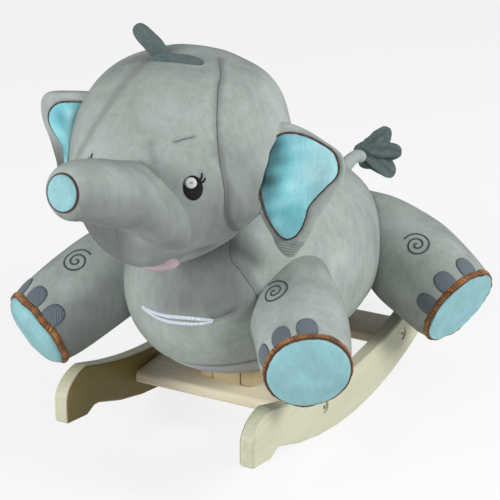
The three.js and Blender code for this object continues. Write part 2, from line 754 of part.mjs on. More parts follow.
// Tail
const tailHinge = new THREE.Vector3(0, tail.hingeReach, tail.hingeHeight);
const tailCurve = new THREE.QuadraticBezierCurve3(
  new THREE.Vector3(0, tail.hingeReach - tail.rootOverlap, tail.hingeHeight),
  new THREE.Vector3(0, tail.hingeReach + tail.stemLength / 2, tail.hingeHeight + tail.stemRise),
  new THREE.Vector3(0, tail.hingeReach + tail.stemLength, tail.hingeHeight - tail.stemDrop));
const tailSteps = Array.from({ length: tail.steps + 1 }, (_, i) => i / tail.steps);
const tailStem = sweptSkin(tailCurve, tailSteps, tailSteps.map(() => tail.stemRadius), tail.around);
const bodyRooms = swept(bodyRoom, tailHinge, zAxis, tail.swing, tail.swingSteps);
addPiece("tail_stem", cut(tailStem, ...bodyRooms), "grey");

// The petals stand in a ring round the stem's end and open backwards
const stemEnd = tailCurve.getPoint(1);
const [petalThick, petalWide] = [tail.petalHalfThickness, tail.petalHalfWidth];
const petal = leaf(tail.petalLength, petalThick, petalWide, tail.petalAround, tail.petalDown);
let tuft = null;
for (let i = 0; i < tail.petals; i++) {
  const turn = new THREE.Matrix4().makeRotationAxis(yAxis, (2 * Math.PI * i) / tail.petals);
  const lean = new THREE.Matrix4().makeRotationX(-Math.PI / 2 + tail.petalSpread);
  const one = placed(petal, moved(stemEnd.x, stemEnd.y, stemEnd.z).multiply(turn).multiply(lean));
  tuft = tuft ? tuft.add(one) : one;
}
const stemRoom = sweptSkin(tailCurve, tailSteps, tailSteps.map(() => tail.stemRadius + gap), tail.around);
addPiece("tail_tuft", cut(tuft, stemRoom), "slate");

// Legs, soles, cords and toenails
function legFacing({ side, outward, droop }) {
  const level = new THREE.Vector3(sides[side] * Math.sin(outward), -Math.cos(outward), 0);
  return level.multiplyScalar(Math.cos(droop)).addScaledVector(zAxis, -Math.sin(droop));
}

// A leg's radius at each step from the sole back to the root
function legProfile({ length, radius }, grow) {
  return leg.stepShares.map((share, i) => [leg.radiusShares[i] * radius + grow, share * length]);
}

for (const [name, one] of Object.entries(legs)) {
  const size = legSizes[one.size];
  const facing = legFacing(one);
  const back = facing.clone().negate();
  // The leg's own frame: Z runs back from the sole, X is the top of the foot
  const top = zAxis.clone().addScaledVector(back, -back.z).normalize();
  const across = new THREE.Vector3().crossVectors(back, top);
  const origin = new THREE.Vector3(sides[one.side] * (halfWidth + one.outside), one.reach, one.height);
  const place = new THREE.Matrix4().makeBasis(top, across, back).setPosition(origin);
  const outer = legProfile(size, 0);
  const inner = legProfile(size, -plushWall).reverse();
  const tube = turned([...outer, ...inner, outer[0]], leg.around);
  const soleRadius = leg.radiusShares[0] * size.radius;
  const cordRoom = cordRing(soleRadius, footCord.radius + gap, leg.around, footCord.section);
  const footRing = cordRing(soleRadius, footCord.radius, leg.around, footCord.section);
  const soleDisc = domedDisc(soleRadius, sole.thickness, sole.dome, sole.rings, leg.around);
  const soleSolid = cut(placed(soleDisc, moved(0, 0, -gap).multiply(flipZ)), cordRoom);
  addPiece(`leg_${name}`, cut(placed(cut(tube, cordRoom), place), bodyRoom), "grey");
  addPiece(`sole_${name}`, placed(soleSolid, place), "blue");
  addPiece(`foot_cord_${name}`, placed(footRing, place), "russet");

  const cap = (profile) => turned([[0, 0], ...profile, [0, size.length]], leg.around);
  const nailSkin = cap(legProfile(size, gap + toenail.thickness)).subtract(cap(legProfile(size, gap)));
  for (let i = 0; i < toenail.count; i++) {
    const towardsFront = one.side === "left" ? -1 : 1;
    const angle = towardsFront * one.nailTurn + (i - (toenail.count - 1) / 2) * toenail.spacing;
    const peg = new THREE.CylinderGeometry(toenail.halfWidth, toenail.halfWidth, size.radius, toenail.around);
    peg.rotateZ(Math.PI / 2).scale(1, 1, toenail.halfLength / toenail.halfWidth);
    peg.translate(size.radius, 0, toenail.fromSole);
    const nail = nailSkin.intersect(placed(solidOf(peg), new THREE.Matrix4().makeRotationZ(angle)));
    addPiece(`toenail_${name}_${i + 1}`, placed(nail, place), "slate");
  }
}

// The origin goes to the middle of the whole toy's footprint, on the floor
const extent = new THREE.Box3().setFromObject(toy, true);
toy.position.y = -(extent.min.y + extent.max.y) / 2;
toy.position.x = -(extent.min.x + extent.max.x) / 2;
toy.updateMatrixWorld(true);

export default toy;
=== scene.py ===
# Looks of a child's rocking elephant: velour bags stuffed and sewn to each other over a small birch
# seat frame on two rockers. Shapes are worked out in millimetres from the point on the floor midway
# between the cross slats, and go to metres when they become a mesh.
import math

import bpy
import numpy as np
from mathutils import Matrix, Vector


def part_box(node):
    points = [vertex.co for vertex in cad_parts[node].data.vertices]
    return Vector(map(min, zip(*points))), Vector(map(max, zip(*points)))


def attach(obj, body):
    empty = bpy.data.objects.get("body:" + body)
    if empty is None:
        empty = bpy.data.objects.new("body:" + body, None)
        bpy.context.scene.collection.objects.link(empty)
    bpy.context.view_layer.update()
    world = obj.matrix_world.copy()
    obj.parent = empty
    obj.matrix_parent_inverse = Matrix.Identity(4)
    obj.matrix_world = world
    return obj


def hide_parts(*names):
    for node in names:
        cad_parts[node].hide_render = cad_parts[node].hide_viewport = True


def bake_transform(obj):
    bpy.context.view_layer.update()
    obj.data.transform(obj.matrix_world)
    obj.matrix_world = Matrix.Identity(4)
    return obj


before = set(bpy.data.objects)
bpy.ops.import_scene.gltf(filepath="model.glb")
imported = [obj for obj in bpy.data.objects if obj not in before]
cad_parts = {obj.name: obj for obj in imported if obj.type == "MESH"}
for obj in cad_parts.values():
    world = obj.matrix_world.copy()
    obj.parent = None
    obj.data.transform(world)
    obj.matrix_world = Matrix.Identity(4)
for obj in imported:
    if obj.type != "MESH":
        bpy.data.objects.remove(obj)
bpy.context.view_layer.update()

MM = 0.001
slat_middles = [sum(corner[1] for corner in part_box(name)) / 2 for name in ("slat_front", "slat_rear")]
toy_origin = np.array([0, sum(slat_middles) / 2, 0])
rng_seed = 7


def put(name, data):
    made = bpy.data.objects.new(name, data)
    bpy.context.scene.collection.objects.link(made)
    return made


# Camera: on the line from the toy's middle, stepped aside and up by the photograph's framing
azimuth, elevation = math.radians(27.1), math.radians(22.3)
to_right = np.array([math.cos(azimuth), math.sin(azimuth), 0])
to_back = np.array([math.sin(azimuth) * math.cos(elevation), -math.cos(azimuth) * math.cos(elevation),
                    math.sin(elevation)])
to_top = np.cross(to_back, to_right)
camera_distance = 2.508
camera_aside, camera_up = 22 / 2000, -131 / 2000
lens = bpy.data.cameras.new("camera")
lens.lens, lens.sensor_width, lens.clip_end = 144, 36, 60
camera = put("camera", lens)
camera_place = (to_back - to_right * camera_aside - to_top * camera_up) * camera_distance + toy_origin
camera_matrix = np.eye(4)
camera_matrix[:3] = np.stack([to_right, to_top, to_back, camera_place], -1)
camera.matrix_world = Matrix(camera_matrix.tolist())
bpy.context.scene.camera = camera


# Node helpers
class Value:
    """An output of a node. Its sums, differences and products are further Math nodes."""

    def __init__(self, nodes, socket):
        self.nodes, self.socket = nodes, socket

    def at(self, output):
        """Another output of the same node."""
        return Value(self.nodes, self.socket.node.outputs[output])

    def reckon(self, operation, other=0.0, clamp=False):
        return self.nodes.add("Math", {0: self, 1: other}, operation=operation, use_clamp=clamp)

    def __add__(self, other):
        return self.reckon("ADD", other)

    def __mul__(self, other):
        return self.reckon("MULTIPLY", other)

    def __sub__(self, other):
        return self.reckon("SUBTRACT", other)

    def __rsub__(self, other):
        return self.nodes.add("Math", {0: other, 1: self}, operation="SUBTRACT")


class Nodes:
    """Makes nodes in one tree. An input, by name or number, takes a plain value or the Value that it is
    linked to."""

    def __init__(self, tree):
        self.tree = tree

    def feed(self, inputs, values):
        for key, value in values.items():
            if isinstance(value, Value):
                self.tree.links.new(value.socket, inputs[key])
            else:
                inputs[key].default_value = value

    def add(self, kind, inputs=None, out=0, **settings):
        made = self.tree.nodes.new("ShaderNode" + kind)
        for key, value in settings.items():
            setattr(made, key, value)
        self.feed(made.inputs, inputs or {})
        return Value(self, made.outputs[out])

    def end(self, kind, surface):
        self.feed(self.tree.nodes.new("ShaderNodeOutput" + kind).inputs, {"Surface": surface})

    def here(self):
        return self.add("TexCoord", out="Object")

    def noise(self, where, scale, detail=2.0, roughness=0.5, distortion=0.0):
        return self.add("TexNoise", {"Vector": where, "Scale": scale, "Detail": detail,
                                     "Roughness": roughness, "Distortion": distortion}, "Fac")

    def mix(self, share, one, other, blend="MIX"):
        return self.add("Mix", {0: share, 6: one, 7: other}, 2, data_type="RGBA", blend_type=blend)

    def ramp(self, value, low, high, start=0.0, end=1.0):
        return self.add("MapRange", {0: value, 1: low, 2: high, 3: start, 4: end})

    def mark(self, name):
        """A mask that the mesh carries at each of its points."""
        return self.add("Attribute", out="Fac", attribute_name=name)

    def bump(self, height, distance, strength=1.0):
        return self.add("Bump", {"Height": height, "Distance": distance, "Strength": strength})

    def seen_directly(self):
        """One for the camera and for mirrors and glass, nothing for light that falls on the toy."""
        camera_ray = self.add("LightPath", out="Is Camera Ray")
        mirrored = camera_ray.at("Is Glossy Ray").reckon("MAXIMUM", camera_ray.at("Is Transmission Ray"))
        return camera_ray.reckon("MAXIMUM", mirrored)


def srgb(red, green, blue):
    """A colour as seen on a screen, in steps of 255, as linear light."""
    share = np.array([red, green, blue]) / 255
    linear = np.where(share <= 0.04045, share / 12.92, ((share + 0.055) / 1.055) ** 2.4)
    return (*linear.tolist(), 1.0)


def new_group(name, inputs):
    """An empty node group that puts out a colour, a height and a roughness: its nodes, inputs and end
    sockets."""
    group = bpy.data.node_groups.new(name, "ShaderNodeTree")
    for label, default in inputs.items():
        kind = "Float" if isinstance(default, float) else {3: "Vector", 4: "Color"}[len(default)]
        socket = group.interface.new_socket(label, in_out="INPUT", socket_type="NodeSocket" + kind)
        socket.default_value = default
    for label, kind in (("Colour", "Color"), ("Height", "Float"), ("Roughness", "Float")):
        group.interface.new_socket(label, in_out="OUTPUT", socket_type="NodeSocket" + kind)
    nodes, sources = Nodes(group), group.nodes.new("NodeGroupInput").outputs
    given = {label: Value(nodes, sources[label]) for label in inputs}
    return nodes, given, group.nodes.new("NodeGroupOutput").inputs


def brushed_pile():
    """Short pile: broad lighter and darker patches where the nap has been stroked, fine fibres, and
    painted shade: darker in the seams' valleys and wherever the piece's nap mark puts shade."""
    nodes, given, made = new_group("brushed_pile", {
        "Colour": (0.5, 0.5, 0.5, 1), "Stroked": 0.2, "Stroke Scale": 16.0, "Fibre": 0.2,
        "Fibre Scale": 520.0, "Seam": 0.0, "Painted Shade": 0.0})
    here = nodes.here()
    patches = nodes.noise(here, given["Stroke Scale"], 3.0, 0.55, 0.9)
    lean = nodes.add("Mapping", {"Vector": here, "Scale": (2.2, 2.2, 0.7)})
    streaks = nodes.noise(lean, given["Stroke Scale"] * 4.0, 3.0, 0.6, 0.4)
    fibres = nodes.noise(here, given["Fibre Scale"], 3.0, 0.75)
    tone = (patches - 0.5) * given["Stroked"] + (streaks - 0.5) * (given["Stroked"] * 0.55) \
        + (fibres - 0.5) * given["Fibre"] + 1.0
    # Painted shade: at most half as bright in a seam's valley, and darker still where the nap mark lies.
    tone = tone * (1.0 - given["Seam"] * 0.5) * (1.0 - given["Painted Shade"] * 0.38)
    grey = nodes.add("CombineColor", {0: tone, 1: tone, 2: tone})
    nodes.feed(made, {"Colour": nodes.mix(1.0, given["Colour"], grey, "MULTIPLY"),
                      "Height": fibres * 0.6 + streaks * 0.4,
                      "Roughness": (fibres * 0.16).reckon("ADD", 0.82, clamp=True)})
    return nodes.tree


def birch_grain():
    """Pale wood: long faint grain lines along the stretched axis, small pores, and a slow change of tone."""
    nodes, given, made = new_group("birch_grain", {
        "Colour": (0.6, 0.5, 0.35, 1), "Grain Colour": (0.5, 0.4, 0.25, 1), "Stretch": (1.0, 0.06, 1.0),
        "Grain": 0.5})
    drawn = nodes.add("VectorMath", {0: nodes.here(), 1: given["Stretch"]}, operation="MULTIPLY")
    lines = nodes.noise(drawn, 95.0, 4.0, 0.62, 1.2)
    slow = nodes.noise(drawn, 22.0)
    fleck = nodes.ramp(nodes.noise(drawn, 620.0, 2.0, 0.7), 0.62, 0.8, 0.0, 0.35)
    share = (nodes.ramp(lines, 0.42, 0.68) * 0.6 + slow * 0.5) * given["Grain"]
    colour = nodes.mix(share, given["Colour"], given["Grain Colour"])
    nodes.feed(made, {"Colour": nodes.mix(fleck, colour, given["Grain Colour"]),
                      "Height": lines - fleck * 0.8, "Roughness": lines * 0.2 + 0.42})
    return nodes.tree


pile_group = brushed_pile()
grain_group = birch_grain()


def new_material(name):
    """A material with one Principled shader: the material, its nodes and the shader's inputs."""
    made = bpy.data.materials.new(name)
    made.use_nodes = True
    made.node_tree.nodes.clear()
    nodes = Nodes(made.node_tree)
    shader = nodes.add("BsdfPrincipled")
    nodes.end("Material", shader)
    return made, nodes, shader.socket.node.inputs


def velour(name, colour, sheen_colour=(200, 215, 210), stroked=0.3, stroke_scale=16.0, fibre=0.2,
           fibre_scale=520.0, sheen=0.3, depth=0.0006, edge=0.5, deep=None):
    """Brushed cloth: its pile has a soft sheen, and shows its dark roots where it turns away. The seam and
    nap
    marks paint shade on it: in the seams' valleys, and where other parts shade it. deep is the fuller colour
    that the cloth takes in that painted shade."""
    made, nodes, shader = new_material(name)
    lit = srgb(*colour)
    # Where the nap mark paints shade, the colour turns towards deep.
    if deep:
        lit = nodes.mix(nodes.mark("nap").reckon("MINIMUM", 1.0), lit, srgb(*deep))
    away = nodes.add("LayerWeight", {"Blend": 0.5}, "Facing").reckon("POWER", 3.0) * edge
    cloth = nodes.add("Group", {
        "Colour": nodes.mix(away, lit, srgb(*(0.45 * part for part in colour))), "Stroked": stroked,
        "Stroke Scale": stroke_scale, "Fibre": fibre, "Fibre Scale": fibre_scale, "Seam": nodes.mark("seam"),
        "Painted Shade": nodes.mark("nap")}, node_tree=pile_group)
    nodes.feed(shader, {"Base Color": cloth, "Roughness": cloth.at("Roughness"), "Sheen Weight": sheen,
                        "Sheen Roughness": 0.45, "Sheen Tint": srgb(*sheen_colour),
                        "Specular IOR Level": 0.15, "Normal": nodes.bump(cloth.at("Height"), depth)})
    return made


def thread(name, colour, dark, stitch_scale, turn, sheen=0.1, rim=None):
    """Satin stitches side by side: fine bands across the shape, with a little loose fluff. A shape with a
    rim mark has a darker border stitched round it."""
    made, nodes, shader = new_material(name)
    here = nodes.here()
    turned_here = nodes.add("Mapping", {"Vector": here, "Rotation": turn})
    rows = nodes.add("TexWave", {"Vector": turned_here, "Scale": stitch_scale, "Distortion": 1.6,
                                 "Detail": 2.0, "Detail Scale": 3.0}, "Fac")
    fluff = nodes.noise(here, 900.0)
    stitched = nodes.mix(rows.reckon("MULTIPLY", fluff * 0.8 + 0.5, clamp=True), srgb(*dark), srgb(*colour))
    if rim:
        stitched = nodes.mix(nodes.mark("rim"), stitched, srgb(*rim))
    nodes.feed(shader, {"Base Color": stitched, "Roughness": fluff * 0.3 + 0.5, "Sheen Weight": sheen,
                        "Specular IOR Level": 0.2, "Normal": nodes.bump(rows + fluff, 0.0004)})
    return made


def inside_of(nodes, reach):
    """One where the surface lies nearer to the toy's middle plane than reach, and nothing further out."""
    aside = nodes.add("SeparateXYZ", {0: nodes.here()}).reckon("ABSOLUTE")
    return nodes.ramp(aside, reach - 0.0002, reach + 0.0008, 1.0, 0.0)


def wood(name, colour, grain_colour, stretch, grain, coat=0.05, inner_shade=None, inner_from=0.0):
    """Clear-lacquered wood. A runner's face on the toy's side gets painted shade, dark and brown, for the
    shade
    under the toy: the colour given for it multiplies the wood's there, and inner_from is how far that face
    lies from the toy's middle plane."""
    made, nodes, shader = new_material(name)
    board = nodes.add("Group", {"Colour": srgb(*colour), "Grain Colour": srgb(*grain_colour),
                                "Stretch": stretch, "Grain": grain}, node_tree=grain_group)
    seen = nodes.mix(inside_of(nodes, inner_from), board, (*inner_shade, 1.0), "MULTIPLY") if inner_shade else board
    nodes.feed(shader, {"Base Color": seen, "Roughness": board.at("Roughness"), "Coat Weight": coat,
                        "Coat Roughness": 0.25, "Specular IOR Level": 0.2,
                        "Normal": nodes.bump(board.at("Height"), 0.0002, 0.6)})
    return made


def steel(name, socket_from):
    """Zinc-plated steel with a few dull spots, and painted shade, near black, in the socket that lies deeper
    than socket_from."""
    made, nodes, shader = new_material(name)
    dull = nodes.noise(nodes.here(), 260.0, 4.0)
    plated = nodes.mix(dull, srgb(206, 204, 184), srgb(228, 226, 206))
    # Painted shade, near black, in the socket.
    nodes.feed(shader, {"Base Color": nodes.mix(inside_of(nodes, socket_from), plated, srgb(22, 20, 19)),
                        "Roughness": dull * 0.3 + 0.25, "Metallic": 1.0, "Normal": nodes.bump(dull, 0.0001)})
    return made


def twisted(name, colour, dark, light):
    """Twisted trim: the yarn is bright on the strands' backs and has painted shade in the valley between
    them.
    """
    made, nodes, shader = new_material(name)
    here = nodes.here()
    fluff = nodes.noise(here, 700.0, 3.0, 0.7)
    yarn = nodes.mix(nodes.ramp(nodes.noise(here, 60.0), 0.35, 0.65), srgb(*colour), srgb(*light))
    # Painted shade: dark in the valleys between strands, and for a foot's trim along its edge at the sole.
    deep = nodes.mark("valley").reckon("POWER", 2.0).reckon("MULTIPLY", fluff * 0.7 + 0.6, clamp=True)
    nodes.feed(shader, {"Base Color": nodes.mix(deep, yarn, srgb(*dark)), "Roughness": fluff * 0.3 + 0.65,
                        "Sheen Weight": 0.1, "Normal": nodes.bump(fluff, 0.0005)})
    return made


plush = {"stroke_scale": 13.0, "sheen": 0.18}
minky = {"stroke_scale": 22.0, "fibre": 0.34, "fibre_scale": 380.0, "sheen": 0.25, "depth": 0.0009}
plush_grey = velour("velour_grey", (161, 169, 164), (205, 218, 212), stroked=0.75, fibre=0.34, **plush)
plush_belly = velour("velour_lavender", (176, 179, 180), (214, 214, 222), stroked=0.5, fibre=0.3, **plush)
minky_blue = velour("minky_blue", (140, 188, 193), (215, 245, 245), stroked=0.5, **minky)
# Its painted shade, at the ears' roots and over the far ear, turns a fuller teal.
minky_ear = velour("minky_ear", (170, 220, 225), (225, 248, 248), stroked=0.45, deep=(137, 224, 236),
                   **minky)
fleece_slate = velour("fleece_slate", (90, 103, 104), (160, 180, 185), stroked=0.9, stroke_scale=46.0,
                      fibre=0.6, fibre_scale=300.0, sheen=0.2, depth=0.0014)
velour_pink = velour("velour_pink", (166, 150, 155), (225, 210, 215), stroked=0.4, fibre=0.3, sheen=0.2)
foam_cream = velour("foam_cream", (226, 218, 190), stroked=0.1, fibre=0.5, fibre_scale=900.0, sheen=0.0,
                    depth=0.001, edge=0.0)
nail_thread = thread("nail_thread", (112, 123, 130), (88, 99, 106), 230.0, (0.3, 0.2, 0.5), rim=(62, 72, 76))
spiral_thread = thread("spiral_thread", (84, 96, 94), (60, 70, 70), 300.0, (0.2, 0.7, 0.1))
# Dark line laid in the seams' creases: painted shade.
seam_crease_shade = thread("seam_crease_shade", (92, 98, 96), (62, 66, 65), 420.0, (0.4, 0.1, 0.7))
eye_thread = thread("eye_thread", (9, 9, 10), (3, 3, 4), 260.0, (0.0, 0.0, 0.5), sheen=0.02)
glint_thread = thread("glint_thread", (232, 238, 238), (196, 204, 204), 300.0, (0.0, 0.9, 0.2))
glint_heart_thread = thread("glint_heart_thread", (176, 186, 186), (140, 150, 150), 300.0, (0.0, 0.9, 0.2))
chest_thread = thread("chest_thread", (226, 232, 240), (190, 200, 212), 300.0, (0.0, 0.2, 0.9))
piping_cord = twisted("piping_burgundy", (52, 27, 23), (22, 12, 11), (78, 44, 33))
foot_trim = twisted("trim_russet", (142, 88, 40), (44, 24, 14), (186, 126, 64))
# The runner's face towards the toy is multiplied dark brown: painted shade under the toy.
birch_rocker = wood("birch_rocker", (194, 195, 172), (172, 168, 138), (1.0, 0.07, 1.0), 0.5,
                    inner_shade=(0.34, 0.25, 0.09), inner_from=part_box("runner_left")[0][0] + 0.001)
birch_slat = wood("birch_slat", (220, 212, 190), (192, 177, 146), (0.07, 1.0, 1.0), 0.55)
ply_frame = wood("plywood_frame", (184, 170, 134), (158, 138, 100), (1.0, 0.1, 1.0), 0.5, coat=0.0)
bolt_steel = steel("bolt_steel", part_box("rocker_bolt_front_left")[1][0] - 0.001)


# Shape helpers. pole_gap is how far from a pole, as an angle, the rows of a closed bag begin.
waves, usual_sum = 6, 2.4
line_steps = 120
pole_gap = 0.004
# sole_edge is the angle round the trim's section where its painted shade along the sole lies.
trim_strands, sole_edge = 46, 1.62 * np.pi


def unit(vectors):
    """Each vector divided by its own length."""
    return vectors / np.linalg.norm(vectors, axis=-1, keepdims=True)


def turn_of(count):
    """Angles evenly round a circle."""
    return np.linspace(0, 2 * np.pi, count, endpoint=False)


def oval(half_wide, half_high, count):
    """An ellipse's points by their angle round it."""
    return np.stack([half_wide * np.cos(turn_of(count)), half_high * np.sin(turn_of(count))], -1)


def bell(values, width):
    """One at nothing, falling off to both sides as e to the minus square of the distance over the width."""
    return np.exp(-((values / width) ** 2))


def fade(values, start, end):
    """Nothing before start and one after end, with a smooth change between them."""
    share = np.clip((values - start) / (end - start), 0, 1)
    return share * share * (3 - 2 * share)


def smooth_path(points, count):
    """A smooth line through the points: between two of them the cubic that leaves each along its
    neighbours' chord."""
    p = np.asarray(points, float)
    where = np.linspace(0, len(p) - 1, count)
    i = np.minimum(where.astype(int), len(p) - 2)
    t = (where - i)[:, None]
    a, b, c, d = (p[np.clip(i + k, 0, len(p) - 1)] for k in (-1, 0, 1, 2))
    return 0.5 * (2 * b + (c - a) * t + (2 * a - 5 * b + 4 * c - d) * t**2 + (3 * b - a - 3 * c + d) * t**3)


def distance_to(points, path):
    """Shortest distance from each point to a line of straight steps."""
    flat = points.reshape(-1, 1, 3)
    start, step = path[:-1], path[1:] - path[:-1]
    share = np.clip(((flat - start) * step).sum(-1) / (step**2).sum(-1), 0, 1)
    near = start + share[..., None] * step
    return np.sqrt(((flat - near) ** 2).sum(-1).min(1)).reshape(points.shape[:-1])


def unevenness(points, wavelength, height, seed):
    """The filling's softness: six sine waves along fixed headings, their lengths near the wavelength, added
    up."""
    rng = np.random.default_rng(rng_seed + seed)
    heading = unit(rng.normal(size=(waves, 3)))
    phase = rng.uniform(0, 2 * np.pi, waves)
    length = wavelength * rng.uniform(0.6, 1.5, waves)
    return height * np.sin(2 * np.pi * (points @ heading.T) / length + phase).sum(-1) / usual_sum


def rotation(axis, angle):
    """Turn matrix about X, Y or Z, the angle in degrees."""
    c, s = math.cos(math.radians(angle)), math.sin(math.radians(angle))
    return np.array({"x": [[1, 0, 0], [0, c, -s], [0, s, c]], "y": [[c, 0, s], [0, 1, 0], [-s, 0, c]],
                     "z": [[c, -s, 0], [s, c, 0], [0, 0, 1]]}[axis])


def spun(radius, along, count):
    """Points at these radii and places along Z, one column for each of the angles round it."""
    angle = turn_of(count)
    return np.stack([radius * np.cos(angle), radius * np.sin(angle), along + 0 * radius + 0 * angle], -1)


def shell_faces(rows, columns, ends):
    """Squares between neighbouring points of a grid, as point numbers. A capped grid has two more points,
    one that its first row is drawn to and one for its last."""
    i, j = np.meshgrid(np.arange(rows if ends == "looped" else rows - 1), np.arange(columns),
                       indexing="ij")
    below, beside = (i + 1) % rows * columns, (j + 1) % columns
    squares = np.stack([i * columns + j, i * columns + beside, below + beside, below + j], -1)
    faces = squares.reshape(-1, 4).tolist()
    if ends == "capped":
        ring, last = np.arange(columns), (rows - 1) * columns
        after, pole = (ring + 1) % columns, rows * columns + 0 * ring
        faces += np.stack([pole, after, ring], -1).tolist()
        faces += np.stack([pole + 1, last + ring, last + after], -1).tolist()
    return faces


def make_piece(name, grids, material, body="root", stands_for=(), marks=None, ends="capped"):
    """One mesh from grids of places in millimetres. Columns close on themselves. The first and last row are
    each drawn together to one middle point where ends is capped, join each other where it is looped, and
    stay as they are where it is open. Faces are turned so that the volume is positive. A piece of one grid
    may carry marks, a value for each of its points."""
    grids = grids if isinstance(grids, list) else [grids]
    vertices, faces, values, start = [], [], {}, 0
    for grid in grids:
        shell = shell_faces(*grid.shape[:2], ends)
        flat = grid.reshape(-1, 3)
        if ends == "capped":
            flat = np.concatenate([flat, [grid[0].mean(0), grid[-1].mean(0)]])
        for key, value in (marks or {}).items():
            at_poles = [value[0].mean(), value[-1].mean()] if ends == "capped" else []
            values[key] = np.concatenate([value.reshape(-1), at_poles])
        corner = flat[np.array([face[:3] for face in shell])] - flat.mean(0)
        volume = (corner[:, 0] * np.cross(corner[:, 1], corner[:, 2])).sum()
        step = 1 if volume > 0 else -1
        faces += [[start + point for point in face[::step]] for face in shell]
        vertices.append(flat)
        start += len(flat)
    mesh = bpy.data.meshes.new(name)
    mesh.from_pydata((np.concatenate(vertices) * MM + toy_origin).tolist(), [], faces)
    for key, value in values.items():
        mesh.attributes.new(key, "FLOAT", "POINT").data.foreach_set("value", value.astype(np.float32))
    mesh.polygons.foreach_set("use_smooth", np.ones(len(mesh.polygons), bool))
    mesh.materials.append(material)
    mesh.validate()
    mesh.update()
    piece = put(name, mesh)
    if stands_for:
        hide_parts(*stands_for)
    if body:
        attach(piece, body)
    return piece


class Bag:
    """A stuffed bag. place turns unit directions into points and ray turns points back into directions,
    longer than one outside the bag and shorter inside. Both work in the bag's own frame, which turn and
    middle place."""

    def __init__(self, place, ray, turn, middle, seams, fuller, swell):
        self.place, self.ray, self.turn, self.middle, self.swell = place, ray, turn, middle, swell
        self.seams, self.fuller = ([(smooth_path(path, 60), height, width) for path, height, width in lines]
                                   for lines in (seams, fuller))

    def skin(self, directions, lift=0.0):
        """Places over the directions, raised along the surface's normal by its own relief and by lift."""
        d = unit(directions)
        base = self.place(d)
        aside = np.where(np.abs(d[..., 2:]) > 0.9, [1.0, 0, 0], [0, 0, 1.0])
        one = unit(np.cross(d, aside))
        two = np.cross(d, one)
        normal = np.cross(self.place(unit(d + 1e-3 * one)) - base, self.place(unit(d + 1e-3 * two)) - base)
        normal = unit(normal) * np.sign((normal * d).sum(-1, keepdims=True))
        return base + normal * (self.relief(base) + lift)[..., None]

    def relief(self, base):
        """Filling's waves and a broad swelling along each fuller line, less a valley along each seam."""
        height = unevenness(base, *self.swell)
        for path, rise, width in self.fuller:
            height = height + rise * bell(distance_to(base, path), width)
        for path, depth, width in self.seams:
            height = height - depth * bell(distance_to(base, path), width)
        return height

    def seam_mask(self, directions):
        """Up to a half on a seam, falling to nothing over the width of its valley: painted shade in the
        valley.
        """
        base = self.place(unit(directions))
        return 0.5 * np.max([bell(distance_to(base, path), width) for path, _, width in self.seams], 0)

    def near(self, points, lift=0.0):
        return self.skin(self.ray(points), lift)

    def line(self, path, half_widths, height):
        """A stitched line laid on the bag through points in its own frame: a low round section carried
        along it."""
        path = self.near(smooth_path(path, line_steps))
        ahead = unit(np.gradient(path, axis=0))
        normal = unit(self.near(path, np.full(line_steps, 5.0)) - path)
        side = np.cross(normal, ahead)
        angle = turn_of(12)
        lift = np.where(np.sin(angle) >= 0, height * np.abs(np.sin(angle)), -0.6)
        wide = np.cos(angle)[None, :, None] * half_widths[:, None, None] * side[:, None]
        return self.out(self.near(path[:, None] + wide, lift[None, :] + np.zeros((line_steps, 1))))

    def seam_lines(self, half_width, numbers):
        """A fine dark line in the valley of each of these seams of the bag, thinner towards its ends: painted
        shade in the seam's crease.
        """
        tapered = half_width * np.sin(np.linspace(0.1, np.pi - 0.1, line_steps)) ** 0.3
        return [self.line(self.seams[number][0], tapered, 0.35) for number in numbers]

    def out(self, points):
        return points @ self.turn.T + self.middle

    def into(self, points):
        return (points - self.middle) @ self.turn

    def sewn(self, points, sink=1.5):
        """Points in the toy's frame; those inside this bag are brought out to just under its skin."""
        ray = self.ray(self.into(points))
        length = np.linalg.norm(ray, axis=-1, keepdims=True)
        under = self.out(self.skin(ray / np.maximum(length, 1e-6), np.full(length.shape[:-1], -sink)))
        return np.where(length < 1, under, points)


def ball_directions(rows, columns, pole="y"):
    """Unit directions in rows from one pole to the other, short of both by a hair."""
    down = np.linspace(pole_gap, np.pi - pole_gap, rows)[:, None]
    x, y, z = np.moveaxis(spun(np.sin(down), np.cos(down), columns), -1, 0)
    return np.stack([x, -z, y] if pole == "y" else [x, y, z], -1)


def patch(surface, outline, height, rings=12, sunk=0.6):
    """A raised patch: rays from its middle to its outline; its height is a flat dome, and it is closed
    below."""
    up = np.sin(np.linspace(0.02, np.pi / 2, rings))
    share = np.concatenate([up, up[::-1]])[:, None]
    lift = np.concatenate([height * (1 - up**6) ** 0.4, np.full(rings, -sunk)])[:, None]
    return surface(share * outline[:, 0], share * outline[:, 1], lift + 0 * outline[:, 0])


def stroke(surface, path, half_widths, height, across=8):
    """A stitched line: a flat dome's section carried along a path of (aside, along) places."""
    ahead = unit(np.gradient(path, axis=0))
    side = np.stack([-ahead[:, 1], ahead[:, 0]], -1) * np.broadcast_to(half_widths, (len(path),))[:, None]
    angle = turn_of(2 * across)
    lift = np.where(np.sin(angle) >= 0, height * np.abs(np.sin(angle)) ** 0.7, -0.5)
    s, t = (path[:, k:k + 1] + side[:, k:k + 1] * np.cos(angle) for k in range(2))
    return surface(s, t, lift[None, :] + 0 * s)


def twist_ring(radius, thickness, strands, turns, around):
    """A ring of twisted yarn: the section's radius swells at each strand, and the strands turn along the
    ring. Returns its places and how deep each lies in the valley between strands."""
    angle = turn_of(14)[:, None]
    lobe = np.abs(np.cos(strands / 2 * (angle - turns * turn_of(around))))
    thick = thickness * (0.7 + 0.32 * lobe)
    return spun(radius + thick * np.cos(angle), thick * np.sin(angle), around), 1 - lobe


